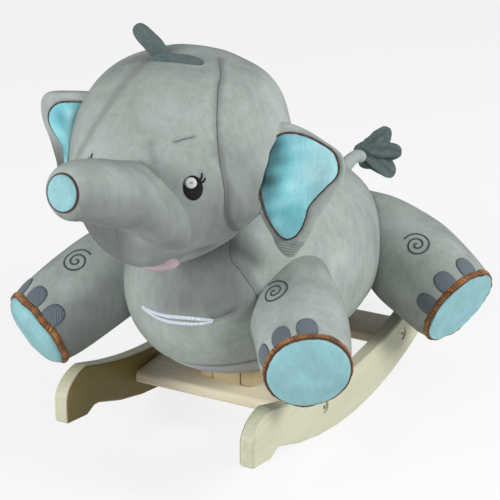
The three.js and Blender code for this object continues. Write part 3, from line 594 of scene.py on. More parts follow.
def trim_band(radius, middle, half_wide, half_thick, sway, seed, around=520):
    """A ring of flat furry trim: an oval section whose size and place wander a little along the ring, in
    strands that lie across it. Returns its places and how dark each is: painted shade between strands and
    along the edge at the sole, and darker patches at random."""
    ring, angle = turn_of(around), turn_of(18)[:, None]
    track = spun(np.array([[radius]]), 0, around)
    lump = 1 + unevenness(track, 9, 0.07, seed + 1) + unevenness(track, 30, 0.08, seed + 2)
    strands = np.abs(np.cos(trim_strands * ring + 1.2 * np.sin(angle) + unevenness(track, 12, 1.5, seed + 3)))
    thick = half_thick * lump * (0.92 + 0.1 * strands)
    z = middle + unevenness(track, 34, sway, seed) + half_wide * lump * np.sin(angle)
    worn = 0.25 + unevenness(track, 14, 0.25, seed + 4)
    # Painted shade between strands and in the gap along the sole's edge.
    dark = np.maximum(0.95 * (1 - strands) ** 0.8 + worn, 1.2 * bell(angle - sole_edge, 0.5))
    return spun(radius + thick * np.cos(angle), z, around), np.clip(dark, 0, 1)


# Body and belly
body_half, body_taper = np.array([125.5, 243.5, 129.5]), 0.06
body_middle, body_turn = np.array([0, -27, 181]), rotation("x", -8.6)
seam_height, belly_flat = 116, 56.5
body_columns = 240
slot_half, slot_edge_height = [37.0, 137.5], 56.2
wadding_thickness = 2.5


def body_place(d):
    """An ellipsoid, slimmer towards the rump."""
    return d * body_half * (1 - body_taper * d[..., 1:2]) ** [1, 0, 1]


def body_ray(p):
    """body_place undone: each part over its half size, and the taper taken from the place along the body."""
    return p / body_half / (1 - body_taper * np.clip(p[..., 1:2] / body_half[1], -1.2, 1.2)) ** [1, 0, 1]


def into_body(points):
    return (np.array(points) - body_middle) @ body_turn


chest_seam = [(69, -233, 202), (63, -239, 199), (57, -245, 196), (50, -250, 196)]
shoulder_seam = [(46, -188, 300), (55, -213, 259), (66, -214, 246), (74, -212, 235), (84, -207, 216),
                 (90, -203, 196)]
bag_body = Bag(body_place, body_ray, body_turn, body_middle, [
    (into_body(chest_seam), 2.0, 5.0), (into_body(shoulder_seam), 2.4, 5.0)], [], (120, 1.1, 3))
around_body = turn_of(body_columns)


def headings(angle):
    """Directions at this angle down from the top, one for each heading round the body."""
    return spun(np.sin(angle), np.cos(angle), body_columns)


def angle_at(height):
    """For each heading round the body, the angle down from its top at which its skin is at this height."""
    low, high = np.full(around_body.shape, 0.02), np.full(around_body.shape, np.pi - 0.02)
    for _ in range(40):
        angle = (low + high) / 2
        over = bag_body.out(body_place(headings(angle)))[..., 2] > height
        low, high = np.where(over, angle, low), np.where(over, high, angle)
    return (low + high) / 2


seam_angle = angle_at(seam_height)
upper = headings(pole_gap + (seam_angle - pole_gap) * np.linspace(0, 1, 150)[:, None])
to_seam = np.linspace(1, 0, 150)[:, None] + 0 * around_body
upper_places = bag_body.out(bag_body.skin(upper, -1.6 * bell(to_seam, 0.012)))
x, y, z = np.moveaxis(upper_places, -1, 0)
# Painted shade on the chest below the head and under the trunk, where they shade it; the seam mark paints
# shade in the seams' valleys and along the belly seam.
upper_painted_shade = 1.3 * fade(-y, 190, 235) * fade(x, -60, 30) * fade(z, 170, 215) \
    + 1.1 * fade(z, 205, 245) * fade(-x, 40, 80) * fade(-y, 120, 170)
upper_places[0] = upper_places[0].mean(0)
body_piece = make_piece("body_velour", upper_places, plush_grey, stands_for=["body"], ends="open",
                        marks={"nap": upper_painted_shade, "seam": np.maximum(
                            bag_body.seam_mask(upper), bell(to_seam, 0.008))})

below_seam, down = seam_angle + 0.004, np.linspace(0, 1, 40)[:, None]
lower = headings(below_seam + (angle_at(belly_flat) - below_seam) * down)
to_seam = down + 0 * around_body
belly_outer = bag_body.out(bag_body.skin(lower, -1.6 * bell(to_seam, 0.06)))
rim = belly_outer[-1]
slot_middle = np.array([0, 14, 0])
from_slot = (rim - slot_middle)[:, :2]
slot_reach = ((np.abs(unit(from_slot)) / slot_half) ** 10).sum(-1) ** -0.1
slot_reach = np.minimum(slot_reach, np.linalg.norm(from_slot, axis=1) - 1.5)
slot = np.concatenate([slot_middle[:2] + unit(from_slot) * slot_reach[:, None],
                       np.full((body_columns, 1), slot_edge_height)], 1)
share = np.linspace(0, 1, 12)[1:, None, None]
belly_under = rim + (slot - rim) * share
belly_under[..., 2] = belly_flat - 0.4 * share[..., 0]
# The seam mark paints shade along the seam with the upper body.
belly_piece = make_piece("belly_velour", np.concatenate([belly_outer, belly_under]), plush_belly,
                         stands_for=["belly_panel"], ends="open",
                         marks={"seam": np.concatenate([bell(to_seam, 0.04), np.zeros((11, body_columns))])})
for piece in (body_piece, belly_piece):
    wadding = piece.modifiers.new("wadding", "SOLIDIFY")
    wadding.thickness, wadding.offset = wadding_thickness * MM, -1

# Head
head_half, head_widen, head_lean = 111.5, 0.34, 0.25
face_reach, nape_reach, crown_reach, chin_reach = 150, 116, 137, 81


def head_place(d):
    """A ball whose crown is wide and leans back and whose chin is narrow and reaches forward."""
    x, y, z = np.moveaxis(d, -1, 0)
    height = z * np.where(z > 0, crown_reach, chin_reach)
    lean = head_lean * np.where(z > 0, 1, (1 - y) / 2)
    return np.stack([x * head_half * (1 + head_widen * z),
                     y * np.where(y > 0, nape_reach, face_reach) + lean * height, height], -1)


def head_ray(p):
    """head_place undone: the height over its reach, then the lean taken off, then the widening."""
    x, y, z = np.moveaxis(p, -1, 0)
    share = z / np.where(z > 0, crown_reach, chin_reach)
    shift = head_lean * z * np.where(z > 0, 1, 0.5)
    reach = np.where(y > shift, nape_reach, face_reach) - np.where(z > 0, 0, shift)
    half = head_half * (1 + head_widen * np.clip(share, -1.2, 1.2))
    return np.stack([x / half, (y - shift) / reach, share], -1)


face_seam = np.array([(30, 30, 136), (42, 0, 128), (48, -26, 119), (60, -61, 96), (73, -85, 65),
                      (84, -93, 34), (88, -93, 4), (90, -70, -20), (88, -31, -36)])
centre_dart = [(2, -106, 78), (6, -112, 70), (11, -117, 63)]
brow_crease = [(26, -98, 80), (31, -95, 82), (37, -91, 84), (44, -86, 85)]
lip_fold = [(43, -108, -47), (51, -100, -45), (57, -85, -47)]
back_swelling = [(80, 55, 121), (110, 32, 95), (124, 22, 62)]
crown_swelling = [(-22, 50, 129), (4, 52, 131), (24, 54, 131)]
bag_head = Bag(head_place, head_ray, rotation("z", 10) @ rotation("y", 4), (0, -235, 348), [
    (face_seam, 2.8, 4.5), (face_seam * [-1, 1, 1], 0.4, 7.0), (centre_dart, 1.2, 6.0),
    (brow_crease, 1.0, 2.6), (lip_fold, 8.0, 15.0)],
    [(back_swelling, 5.0, 36), (crown_swelling, 3.0, 22)], (95, 1.0, 11))
head_rows = ball_directions(256, 336)
x, y, z = np.moveaxis(head_place(head_rows), -1, 0)
# Painted shade: darker on the lower face and chin, along the top of the crown, on one cheek, and in a band
# under the trunk; the seam mark paints shade in the seams' valleys.
head_painted_shade = 0.75 * fade(-z, -55, 15) + 0.3 * fade(z, 105, 130) \
    + 0.75 * fade(x, 45, 90) * fade(-y, 0, 60) * fade(-z, -100, -60) \
    + fade(-x, -14, 14) * fade(-z, -15, 10) * fade(-y, 60, 125)
make_piece("head_velour", bag_body.sewn(bag_head.out(bag_head.skin(head_rows))), plush_grey,
           stands_for=["head"], marks={"seam": bag_head.seam_mask(head_rows), "nap": head_painted_shade})

# Trunk
trunk_line = np.array([(10, -85, -12), (-3.3, -148.3, 34.7), (-10, -210, 61.3), (-22, -270, 80)], float)
trunk_widths = smooth_path([(share, radius * 60) for share, radius in zip(
    [0, .16, .34, .52, .7, .84, .93, .98, 1], [.84, .87, .71, .59, .53, .51, .485, .42, .3])], 1200)
tip_heading = unit(np.array([-0.321, -0.929, 0.186]))
bend_from = 0.8


def trunk_centre(t):
    """The curve from the root by way of two bends to the tip."""
    t = np.asarray(t, float)[..., None]
    return (trunk_line[0] * (1 - t) ** 3 + 3 * trunk_line[1] * t * (1 - t) ** 2
            + 3 * trunk_line[2] * t**2 * (1 - t) + trunk_line[3] * t**3)


def trunk_frame(t):
    """At each share of the curve: its heading, level across it, and up across it."""
    t = np.asarray(t, float)[..., None]
    first, second, third = np.diff(trunk_line, axis=0)
    ahead = unit(first * (1 - t) ** 2 + 2 * second * t * (1 - t) + third * t**2)
    across = unit(np.cross(ahead, [0, 0, 1.0]))
    return ahead, across, np.cross(across, ahead)


tip_ahead, tip_across, tip_up = trunk_frame(1.0)


def bent(points, share):
    """The trunk's end bends aside: points are turned about the place on the curve where the bend begins, by
    an angle that grows to the tip's, as (arm cos a) + (axis x arm) sin a + axis (axis . arm) (1 - cos
    a)."""
    axis = unit(np.cross(tip_ahead, tip_heading))
    angle = (math.acos(tip_ahead @ tip_heading) * fade(share, bend_from, 1))[..., None]
    pivot = trunk_centre(bend_from)
    arm = points - pivot
    return pivot + arm * np.cos(angle) + np.cross(axis, arm) * np.sin(angle) \
        + axis * (arm @ axis)[..., None] * (1 - np.cos(angle))


trunk_share = np.concatenate([np.linspace(0, 0.9, 90), 1 - 0.1 * np.cos(np.linspace(0, np.pi / 2, 24))[1:]])
trunk_columns = 160
round_trunk = turn_of(trunk_columns)
_, across_trunk, up_trunk = trunk_frame(trunk_share)
# How much fuller or slimmer the trunk's root is, by angle round it, where it is sewn to the face
root_shape = np.array([(-178, 1.6), (-166, 7.5), (-156, 7.3), (-142, 3.1), (-132, -3.9), (-107, -15),
                       (-59, -16), (-20, -9), (20, -3), (65, -1.6), (83, -5.6), (111, -11.7),
                       (142, -10.1), (162, -4.4)])


def averaged(values, count):
    """Each value as a weighted mean of its neighbours, the weights those of a raised cosine."""
    return np.convolve(values, np.hanning(count) / np.hanning(count).sum(), "same")


trunk_widths[60:-60, 1] = averaged(trunk_widths[:, 1], 120)[60:-60]
trunk_base = trunk_centre(trunk_share)[:, None, :] + 0 * round_trunk[None, :, None]
spoke = (across_trunk[:, None] * np.cos(round_trunk)[None, :, None]
         + up_trunk[:, None] * np.sin(round_trunk)[None, :, None])
creases = 0.9 * np.sin(2 * np.pi * trunk_share * 9)[:, None] * np.clip(-np.sin(round_trunk), 0, 1) ** 2 \
    * np.clip((trunk_share - 0.55) * 4, 0, 1)[:, None] * np.clip((0.93 - trunk_share) * 12, 0, 1)[:, None]
root_extra = np.interp(np.degrees(round_trunk), root_shape[:, 0], root_shape[:, 1], period=360)
root_extra = averaged(np.tile(root_extra, 3), 15)[trunk_columns:2 * trunk_columns]
near_root = 0.5 + 0.5 * np.cos(np.pi * np.clip((trunk_share - 0.28) / 0.3, 0, 1))[:, None]
trunk_radius = np.interp(trunk_share, *trunk_widths.T)[:, None] + creases + near_root * root_extra \
    + unevenness(trunk_base + spoke * 40, 70, 0.7, 21)
all_along = 0 * trunk_share[:, None]
trunk_places = bent(trunk_base + spoke * trunk_radius[..., None], trunk_share[:, None] + 0 * round_trunk)
# Painted shade: a little all over, more on the underside, and along the seam underneath.
make_piece("trunk_velour", bag_head.sewn(bag_head.out(trunk_places)), plush_grey, stands_for=["trunk"],
           marks={"seam": 0.6 * bell((round_trunk - 1.5 * np.pi) * 40, 1.6) + all_along,
                  "nap": 0.3 + 0.75 * fade(-np.sin(round_trunk), -0.75, 0.3) + all_along})


def on_tip(points):
    """Places across, up and ahead of the trunk's end, turned with its bend into the toy's frame."""
    turn = np.stack([tip_across, tip_up, tip_ahead])
    return bag_head.out(bent(points @ turn + trunk_line[3], np.ones(points.shape[:-1])))


tip_share = np.sin(np.linspace(0.01, np.pi / 2, 20))[:, None]
tip_radius = 18.2 * np.concatenate([tip_share, tip_share[::-1]])
tip_along = np.concatenate([0.6 + 4.2 * (1 - tip_share**4) ** 0.6, np.full((20, 1), -1.5)])
make_piece("trunk_tip_minky", on_tip(spun(tip_radius, tip_along, 96)), minky_blue,
           stands_for=["trunk_tip"])
grid, valley = twist_ring(18.4, 1.45, 2, 26, 420)
make_piece("trunk_tip_piping", on_tip(grid), piping_cord, stands_for=["trunk_piping"], ends="looped",
           marks={"valley": valley})

# Mouth
mouth_places = ball_directions(60, 90) * [25, 25, 13] + [14, -95, -54]
make_piece("mouth_velour", bag_head.sewn(bag_head.out(mouth_places)), velour_pink,
           stands_for=["mouth_lining"])

# Eyes
eye_middle, eye_normal = np.array([55.1, -116.3, 40.5]), unit(np.array([0.502, -0.766, 0.401]))
eye_up = unit(np.array([0, 0, 1.0]) - eye_normal * eye_normal[2])
eye_aside = np.cross(eye_up, eye_normal)


def on_face(flip, aside=0.0, upward=0.0):
    """A surface on the left (1) or right (-1) of the face: places by how far aside and up they are from a
    point by the eye, seen square to the face there."""
    def surface(s, t, lift):
        points = eye_middle + (s + aside)[..., None] * eye_aside + (t + upward)[..., None] * eye_up
        return bag_head.out(bag_head.near(points * [flip, 1, 1], lift))
    return surface


egg = oval(10.6, 12.9, 72) @ rotation("z", 4)[:2, :2].T
glint, glint_heart = oval(6.3, 5.7, 60), [0.42, 0.3]
lashes = [(smooth_path([(5.5, 6.5), (8.2, 8.2), (9.9, 11.2), (10.4, 15.2)], 16), np.linspace(1.7, 0.5, 16)),
          (smooth_path([(7.5, 5.0), (10.6, 5.8), (12.6, 7.6), (13.4, 9.9)], 16), np.linspace(1.5, 0.4, 16))]
for side_name, flip in (("left", 1), ("right", -1)):
    face, at_glint = on_face(flip), on_face(flip, -2.3, 5.0)
    make_piece(f"eye_{side_name}", patch(face, egg, 1.2), eye_thread)
    make_piece(f"eye_glint_{side_name}", patch(at_glint, glint, 2.6, sunk=-1.1), glint_thread)
    make_piece(f"eye_glint_heart_{side_name}", patch(at_glint, glint * glint_heart, 2.9, sunk=-2.1),
               glint_heart_thread)
    make_piece(f"eye_lashes_{side_name}", [stroke(face, path, width, 1.3) for path, width in lashes],
               eye_thread)

# Ears
ear_seam = np.array([112, 13, 34.5])
ear_out, ear_up, ear_forward = (unit(np.array(way)) for way in (
    (0.922, 0.361, -0.141), (0.149, 0.005, 0.989), (0.244, -0.9, 0.355)))
ear_facing = unit(np.cross(ear_out, ear_up))
ear_width, ear_height, ear_root = 70, 152, -27
ear_outlines = {
    "left": [(-.21, .289), (0, .294), (.3, .262), (.59, .209), (.844, .152), (.957, .096), (1.01, .008),
             (.974, -.127), (.84, -.286), (.764, -.4), (.7, -.541), (.62, -.64), (.55, -.71),
             (.467, -.725), (.331, -.695), (.209, -.636), (.125, -.574), (.017, -.514), (-.079, -.452),
             (-.16, -.39), (-.202, -.326)],
    "right": [(-.21, .287), (-.1, .281), (.273, .265), (.611, .249), (.764, .231), (.87, .19),
              (.915, .13), (.915, .034), (.873, -.041), (.807, -.121), (.759, -.202), (.7, -.29),
              (.68, -.4), (.66, -.53), (.61, -.64), (.54, -.71), (.43, -.725), (.31, -.69), (.2, -.636),
              (.1, -.57), (0, -.5), (-.1, -.44), (-.18, -.37), (-.21, -.31)]}
lining_outlines = {
    "left": [(-.166, .21), (-.064, .241), (.086, .254), (.3, .244), (.498, .216), (.702, .175),
             (.798, .131), (.881, .047), (.871, -.027), (.786, -.093), (.69, -.168), (.598, -.249),
             (.555, -.313), (.561, -.379), (.534, -.469), (.472, -.535), (.384, -.563), (.298, -.563),
             (.173, -.525), (.033, -.453), (-.065, -.386), (-.144, -.311), (-.218, -.226)],
    "right": [(-.162, .217), (.075, .208), (.367, .19), (.534, .16), (.655, .115), (.709, .06),
              (.704, .01), (.655, -.032), (.556, -.084), (.44, -.135), (.35, -.19), (.33, -.25),
              (.36, -.33), (.4, -.41), (.41, -.48), (.36, -.54), (.26, -.56), (.15, -.53), (.02, -.45),
              (-.08, -.38), (-.15, -.31), (-.218, -.226)]}
ear_pull = np.array([(-125, 0), (-100, 6), (-80, 22), (-60, 44), (-42, 54.5), (-32.5, 52.6), (-10.8, 42.3),
                     (11.6, 28.5), (31.6, 12), (40.7, 5), (52, 0)], float)
ear_pull_reach = 46


def ear_place(a, b, c, flip):
    """Outwards a, upwards b and forwards c from the seam; near the root the pad bends forward to meet the
    face."""
    pull = np.interp(b, *ear_pull.T) * np.clip((ear_pull_reach - a) / (ear_pull_reach + 14), 0, 1) ** 2
    points = (ear_seam + a[..., None] * ear_out + b[..., None] * ear_up + c[..., None] * ear_facing
              + pull[..., None] * ear_forward)
    return bag_head.out(points * [flip, 1, 1])


def even_loop(loop, count):
    """The same closed line with its points evenly apart, started where it was."""
    closed = np.concatenate([loop, loop[:1]])
    along = np.concatenate([[0], np.cumsum(np.linalg.norm(np.diff(closed, axis=0), axis=1))])
    where = np.linspace(0, along[-1], count, endpoint=False)
    return np.stack([np.interp(where, along, closed[:, k]) for k in range(2)], -1)


def ear_loop(shares, low_share, top_share):
    """The outline in millimetres as a closed line with a straight root inside the head, its corners
    softened: each point is moved three times to the mean of its neighbours."""
    root = ear_root / ear_width
    foot = np.linspace([root, low_share], [root, top_share], 66)
    loop = even_loop(np.concatenate([smooth_path(shares, 200), foot]) * [ear_width, ear_height], 300)
    for _ in range(3):
        loop = (np.roll(loop, 1, 0) + 2 * loop + np.roll(loop, -1, 0)) / 4
    return loop


pad_middle = np.array([26, -22])
to_rim = 1 - 0.05 * np.cos(np.linspace(0, np.pi / 2, 12))[1:]
front_share = np.concatenate([np.linspace(0.01, 0.72, 24), np.linspace(0.72, 0.95, 34)[1:], to_rim])
back_share = np.concatenate([np.linspace(0.01, 0.95, 30), to_rim])


def cushion_rows(loop, front, rear, power):
    """Rows from the middle of the front over the rim to the middle of the back, each a smaller copy of the
    outline; the height falls from full to nothing at the rim as (1 - share to the power) to the inverse
    power. Also returns the share and where the front is."""
    share = np.concatenate([front_share, back_share[::-1][1:]])[:, None]
    on_front = (np.arange(len(share)) < len(front_share))[:, None]
    a, b = (pad_middle[k] + share * (loop[:, k] - pad_middle[k]) for k in range(2))
    crown = (1 - np.minimum(share, 1) ** power) ** (1 / power)
    return a, b, np.where(on_front, front, rear) * crown + 0 * a, share + 0 * a, on_front + 0 * a


for side_name, flip in (("left", 1), ("right", -1)):
    pad_loop = ear_loop(ear_outlines[side_name], -0.24, 0.289)
    lining_loop = ear_loop(lining_outlines[side_name], -0.13, 0.17)
    a, b, c, share, front = cushion_rows(pad_loop, 7.5, -7.5, 4)
    low = fade(-b, 86, 90) * fade(1 - share, 0.01, 0.05)
    rib_wave = np.sin(2 * np.pi * (b + 0.06 * a) / 3.3)
    flat = np.stack([a, b, 0 * a], -1)
    rim_line = np.stack([*lining_loop.T, 0 * lining_loop[:, 0]], -1)
    dip = distance_to(flat, np.concatenate([rim_line, rim_line[:1]]))
    c = c + front * (0.55 * rib_wave * low - 1.3 * bell(dip, 3.0)) + unevenness(flat, 60, 0.5, 31)
    # Painted shade in the grooves between the rows stitched low on the front, and over the far ear's pad,
    # more towards its bottom.
    pad = make_piece(f"ear_velour_{side_name}", ear_place(a, b, c, flip), plush_grey, body=None,
                     stands_for=[f"ear_{side_name}"], marks={
                         "seam": front * low * (0.25 - 0.3 * rib_wave),
                         "nap": (1.5 * fade(-b, 0, 50) + 0.3) * (side_name == "right")})
    a, b, c, share, front = cushion_rows(lining_loop, 9.0, 5.0, 6)
    from_root = np.clip(a + 12, 0, None)
    folds = 0.7 * np.sin(2 * np.pi * (b + 0.5 * a) / 26) * np.exp(-from_root / 22)
    flat = np.stack([a, b, 0 * a], -1)
    c = np.where(front > 0, 5.5 + 0.42 * c + (folds + unevenness(flat, 44, 0.6, 37)) * (1 - share**4), 5.0)
    # Painted shade at the ear's root, falling off outwards with its folds, and on its lower part; over all of
    # the far ear, which lies in the head's shade. blotches vary it at random.
    blotches = unevenness(flat, 30, 0.3, 39) * bell(from_root, 34)
    root_fold_shade = 1.15 * np.exp(-((from_root / 16) ** 1.2)) + 0.5 * blotches
    root_painted_shade = np.maximum(1.6 * bell(from_root, 24), 0.8 * fade(-b, 0, 55)) + blotches
    if side_name == "right":
        root_painted_shade = 0.95 + unevenness(flat, 34, 0.3, 43)
    lining = make_piece(f"ear_minky_{side_name}", ear_place(a, b, c, flip), minky_ear, body=None,
                        stands_for=[f"ear_lining_{side_name}"], marks={"seam": root_fold_shade, "nap": root_painted_shade})
    loop = even_loop(lining_loop, 700)
    ahead = unit(np.roll(loop, -1, 0) - np.roll(loop, 1, 0))
    angle = turn_of(12)[:, None]
    lobe = np.abs(np.cos(angle - 0.28 * np.arange(700) * 2 * np.pi / 14))
    thick = 1.3 * (0.8 + 0.22 * lobe)
    piping = make_piece(f"ear_cord_{side_name}", ear_place(
        loop[:, 0] + ahead[:, 1] * thick * np.cos(angle), loop[:, 1] - ahead[:, 0] * thick * np.cos(angle),
        7.6 + thick * np.sin(angle), flip), piping_cord, body=None, stands_for=[f"ear_piping_{side_name}"],
        marks={"valley": 1 - lobe}, ends="looped")
    start, end = (bag_head.out(point * [flip, 1, 1]) * MM + toy_origin
                  for point in (np.array([109, -30, 50]), ear_seam + 42 * ear_out))
    for piece in (pad, lining, piping):
        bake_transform(piece)


# Leaves of fleece: hair and tail tuft
def leaf(root, heading, length, half_wide, half_thick, pinch, curl=0.0, ribs=0.5, roll=0.0, seed=0):
    """A fleece leaf: flat oval rings carried from root along heading, drawn in towards the point, its back
    curling over by curl, with shallow ribs along it."""
    ahead = unit(np.asarray(heading, float))
    across = unit(np.cross(ahead, [0, 0, 1.0] if abs(ahead[2]) < 0.95 else [0, 1.0, 0]))
    over = np.cross(across, ahead)
    across, over = (across * math.cos(roll) + over * math.sin(roll),
                    over * math.cos(roll) - across * math.sin(roll))
    angle_down, round_ = np.linspace(0.05, np.pi - 0.05, 56)[:, None], turn_of(64)
    along = (1 - np.cos(angle_down)) / 2
    rib = 1 + ribs * 0.12 * np.cos(5 * round_ + 3 * along) * np.sin(angle_down)
    ring = np.sin(angle_down) ** 0.62 * (1 - pinch * along) * rib
    s = half_wide * ring * np.cos(round_)
    t = half_thick * ring * np.sin(round_) + curl * along**2 * length
    u = along * length - abs(curl) * 0.3 * along**3 * length + 0 * round_
    places = root + s[..., None] * across + t[..., None] * over + u[..., None] * ahead
    return places + unit(places - places.mean((0, 1))) * unevenness(places, 22, 0.7, seed)[..., None]


hair_leaves = [((-29, 16, 132), (-0.77, -0.09, 0.64), (52, 11.2, 8.0, -0.25, 0.04)),
               ((-27, 5, 132), (0.99, -0.06, 0.01), (58, 10.0, 7.5, 0.1, 0.03))]
hair_places = [leaf(root - 9 * unit(np.array(heading)), heading, *shape, seed=41 + number)
               for number, (root, heading, shape) in enumerate(hair_leaves)]
make_piece("hair_fleece", [bag_head.sewn(bag_head.out(places), 1.0) for places in hair_places], fleece_slate,
           stands_for=["hair_tuft"])

# Tail
tail_line = np.array([(0, 186, 208), (0, 236, 234), (2, 263, 213)], float)
t = np.linspace(0, 1, 60)[:, None]
tail_middle = tail_line[0] * (1 - t) ** 2 + 2 * tail_line[1] * t * (1 - t) + tail_line[2] * t**2
ahead = unit((tail_line[1] - tail_line[0]) * (1 - t) + (tail_line[2] - tail_line[1]) * t)
angle = turn_of(64)
stem_radius = 9.6 - 1.6 * t + 0.4 * np.sin(9 * t) + 0 * angle - 4 * bell(1 - t, 0.08)
spokes = np.array([1.0, 0, 0]) * np.cos(angle)[:, None] + np.cross([1.0, 0, 0], ahead)[:, None] \
    * np.sin(angle)[:, None]
# The seam mark paints shade along the stem's seam.
stem_piece = make_piece("tail_velour", bag_body.sewn(tail_middle[:, None] + stem_radius[..., None] * spokes),
                        plush_grey, body=None, stands_for=["tail_stem"],
                        marks={"seam": bell((angle - 1.5 * np.pi) * 8.7, 1.4) + 0 * t})
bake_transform(stem_piece)

tuft_root = np.array([3, 263, 219.5])
tuft_axis = unit(np.array([0.35, 1, -0.3]))
tuft_side = unit(np.cross(tuft_axis, [0, 0, 1.0]))
tuft_up = np.cross(tuft_side, tuft_axis)
tuft_lean = math.radians(36)
petals = []
for number, length in enumerate((57, 54, 58, 38, 24, 36)):
    spin = 2 * np.pi * number / 6
    out = tuft_side * math.sin(spin) + tuft_up * math.cos(spin)
    heading = out * math.sin(tuft_lean) + tuft_axis * math.cos(tuft_lean)
    petals.append(leaf(tuft_root - 2 * heading, heading, length, 15.5, 8.6, 0.1, 0.12 * (-1) ** number, 1.6,
                       spin * 0.2 + number, 51 + number))
for number in range(3):
    spin = 2 * np.pi * (number + 0.4) / 3
    heading = tuft_axis + 0.28 * (tuft_side * math.sin(spin) + tuft_up * math.cos(spin))
    petals.append(leaf(tuft_root, heading, 50, 13, 8, 0.15, 0.2, 1.6, spin, 61 + number))
make_piece("tail_fleece", petals, fleece_slate, body="tail", stands_for=["tail_tuft"])

# Legs
leg_shares = [0, .04, .13, .29, .47, .66, .84, 1]
leg_profiles = {
    "front": smooth_path(list(zip(leg_shares, [.84, .9, .96, 1, 1, .92, .78, .55])), 300),
    "rear": smooth_path(list(zip(leg_shares, [.84, .9, .96, 1, .99, .89, .71, .5])), 300)}
front_size, rear_size = (225, 54), (195, 60.5)
# Length and radius, side, middle of the sole, how far it faces outward and down, turn of the toenails, angle
# and place of the spiral, how far the sole bulges, and the nap mark's painted shade by how far back and how
# near the top one is
legs = {
    "front_left": (front_size, 1, (169.5, -252.5, 158.5), (33.4, 13.4), -38, (-32, 85), 7.0,
                   lambda back, top: 0.6 * fade(back, 0.45, 0.75)),
    "front_right": (front_size, -1, (172.5, -261, 141.5), (30.5, 26.7), 18, (16, 76), 13.0,
                    lambda back, top: 0.1 + 0.95 * fade(-top, -0.9, -0.35)),
    "rear_left": (rear_size, 1, (209, 96.6, 106), (72, 25), -40, (-31, 74), 0.5,
                  lambda back, top: 0.75 * fade(-top, -0.2, 0.6)),
    "rear_right": (rear_size, -1, (209, 96.6, 106), (72, 25), 40, (31, 74), 0.5,
                   lambda back, top: 0.6 * fade(-top, -0.2, 0.6)),
}
nail_apart = 36


class Leg:
    """A fat bag about its own axis: Z runs back from the sole and X is the top of the foot."""

    def __init__(self, size, side, middle, facing, profile, seed):
        self.length, self.radius = size
        self.profile, self.seed = profile, seed
        outward, droop = (math.radians(angle) for angle in facing)
        back = np.array([-side * math.sin(outward) * math.cos(droop), math.cos(outward) * math.cos(droop),
                         math.sin(droop)])
        top = unit(np.array([0, 0, 1.0]) - back * back[2])
        self.turn = np.stack([top, np.cross(back, top), back], -1)
        self.middle = np.array(middle) * [side, 1, 1]

    def out(self, points):
        return points @ self.turn.T + self.middle

    def radius_at(self, along):
        return np.interp(along / self.length, *self.profile.T) * self.radius

    def skin(self, angle, along, lift=0.0):
        """Radius by distance from the sole, with the filling's waves and a draw-in next to the sewn-on
        cord."""
        radius = self.radius_at(along)
        base = np.stack([np.cos(angle) * radius, np.sin(angle) * radius, along + 0 * angle], -1)
        radius = radius + unevenness(base, 80, 0.9, self.seed) * np.clip(along / 20, 0, 1) + lift
        return np.stack([np.cos(angle) * radius, np.sin(angle) * radius, along + 0 * angle], -1)

    def surface(self, angle, along):
        """Places by how far aside and back they are from a middle on this leg."""
        radius = self.radius_at(along)
        return lambda s, t, lift: self.out(self.skin(angle + s / radius, along + t, lift))


nail_arch = turn_of(64)
nail_outline = np.stack([12.0 * np.sign(np.cos(nail_arch)) * np.abs(np.cos(nail_arch)) ** 0.75,
                         np.where(np.sin(nail_arch) > 0, 15.5 * np.sin(nail_arch),
                                  -8.0 * np.abs(np.sin(nail_arch)) ** 0.3)], -1)
nail_rim = np.sin(np.linspace(0.02, np.pi / 2, 14)) ** 14
nail_rim = np.concatenate([nail_rim, nail_rim[::-1]])[:, None] + 0 * nail_arch
coil = np.linspace(0.5, 2.3 * 2 * np.pi, 170)
coil_line = np.stack([np.cos(coil), np.sin(coil)], -1) * (1.24 * coil)[:, None]

for number, (name, (size, side, middle, facing, nail_turn, (coil_angle, coil_along), bulge, nap)) \
        in enumerate(legs.items()):
    leg = Leg(size, side, middle, facing, leg_profiles[name.split("_")[0]], 71 + number)
    sole_radius = 0.84 * leg.radius
    along = np.concatenate([np.linspace(0, 0.2, 40), np.linspace(0.2, 1, 90)[1:]])[:, None] * leg.length
    around = turn_of(150)[None, :]
    # Painted shade along the leg's seam, and where the nap mark puts it: towards the back or the underside.
    make_piece(f"leg_velour_{name}", bag_body.sewn(leg.out(leg.skin(around + 0 * along, along + 0 * around))),
               plush_grey, stands_for=[f"leg_{name}"], marks={
                   "seam": bell((around - np.pi) * leg.radius, 1.5) + 0 * along,
                   "nap": nap(along / leg.length, np.cos(around)) + 0 * along * around})

    share = np.sin(np.linspace(0.01, np.pi / 2, 30))[:, None]
    sole = spun((sole_radius + 0.6) * np.concatenate([share, share[::-1]]), np.concatenate(
        [-(2.0 + bulge * (1 - share**3) ** 0.6), np.full((30, 1), 0.6)]), 120)
    sole[..., 2] += np.where(sole[..., 2] < 0, 1, 0) * unevenness(sole, 30, 0.5, 81)
    make_piece(f"sole_minky_{name}", leg.out(sole), minky_blue, stands_for=[f"sole_{name}"])

    sway = 1.4 if name == "front_right" else 0.7
    grid, valley = trim_band(sole_radius + 1.4, 3.0, 4.6, 3.2, sway, 91 + number)
    make_piece(f"foot_trim_{name}", leg.out(grid), foot_trim, stands_for=[f"foot_cord_{name}"],
               marks={"valley": valley}, ends="looped")

    for i in range(3):
        nail_surface = leg.surface(math.radians(nail_turn + (i - 1) * nail_apart), 13.0)
        make_piece(f"nail_{name}_{i + 1}", patch(nail_surface, nail_outline, 1.3, rings=14), nail_thread,
                   stands_for=[f"toenail_{name}_{i + 1}"], marks={"rim": nail_rim})
    coil_surface = leg.surface(math.radians(coil_angle), coil_along)
    make_piece(f"spiral_{name}", stroke(coil_surface, coil_line * [side, 1], 1.15, 0.7, across=5),
               spiral_thread)

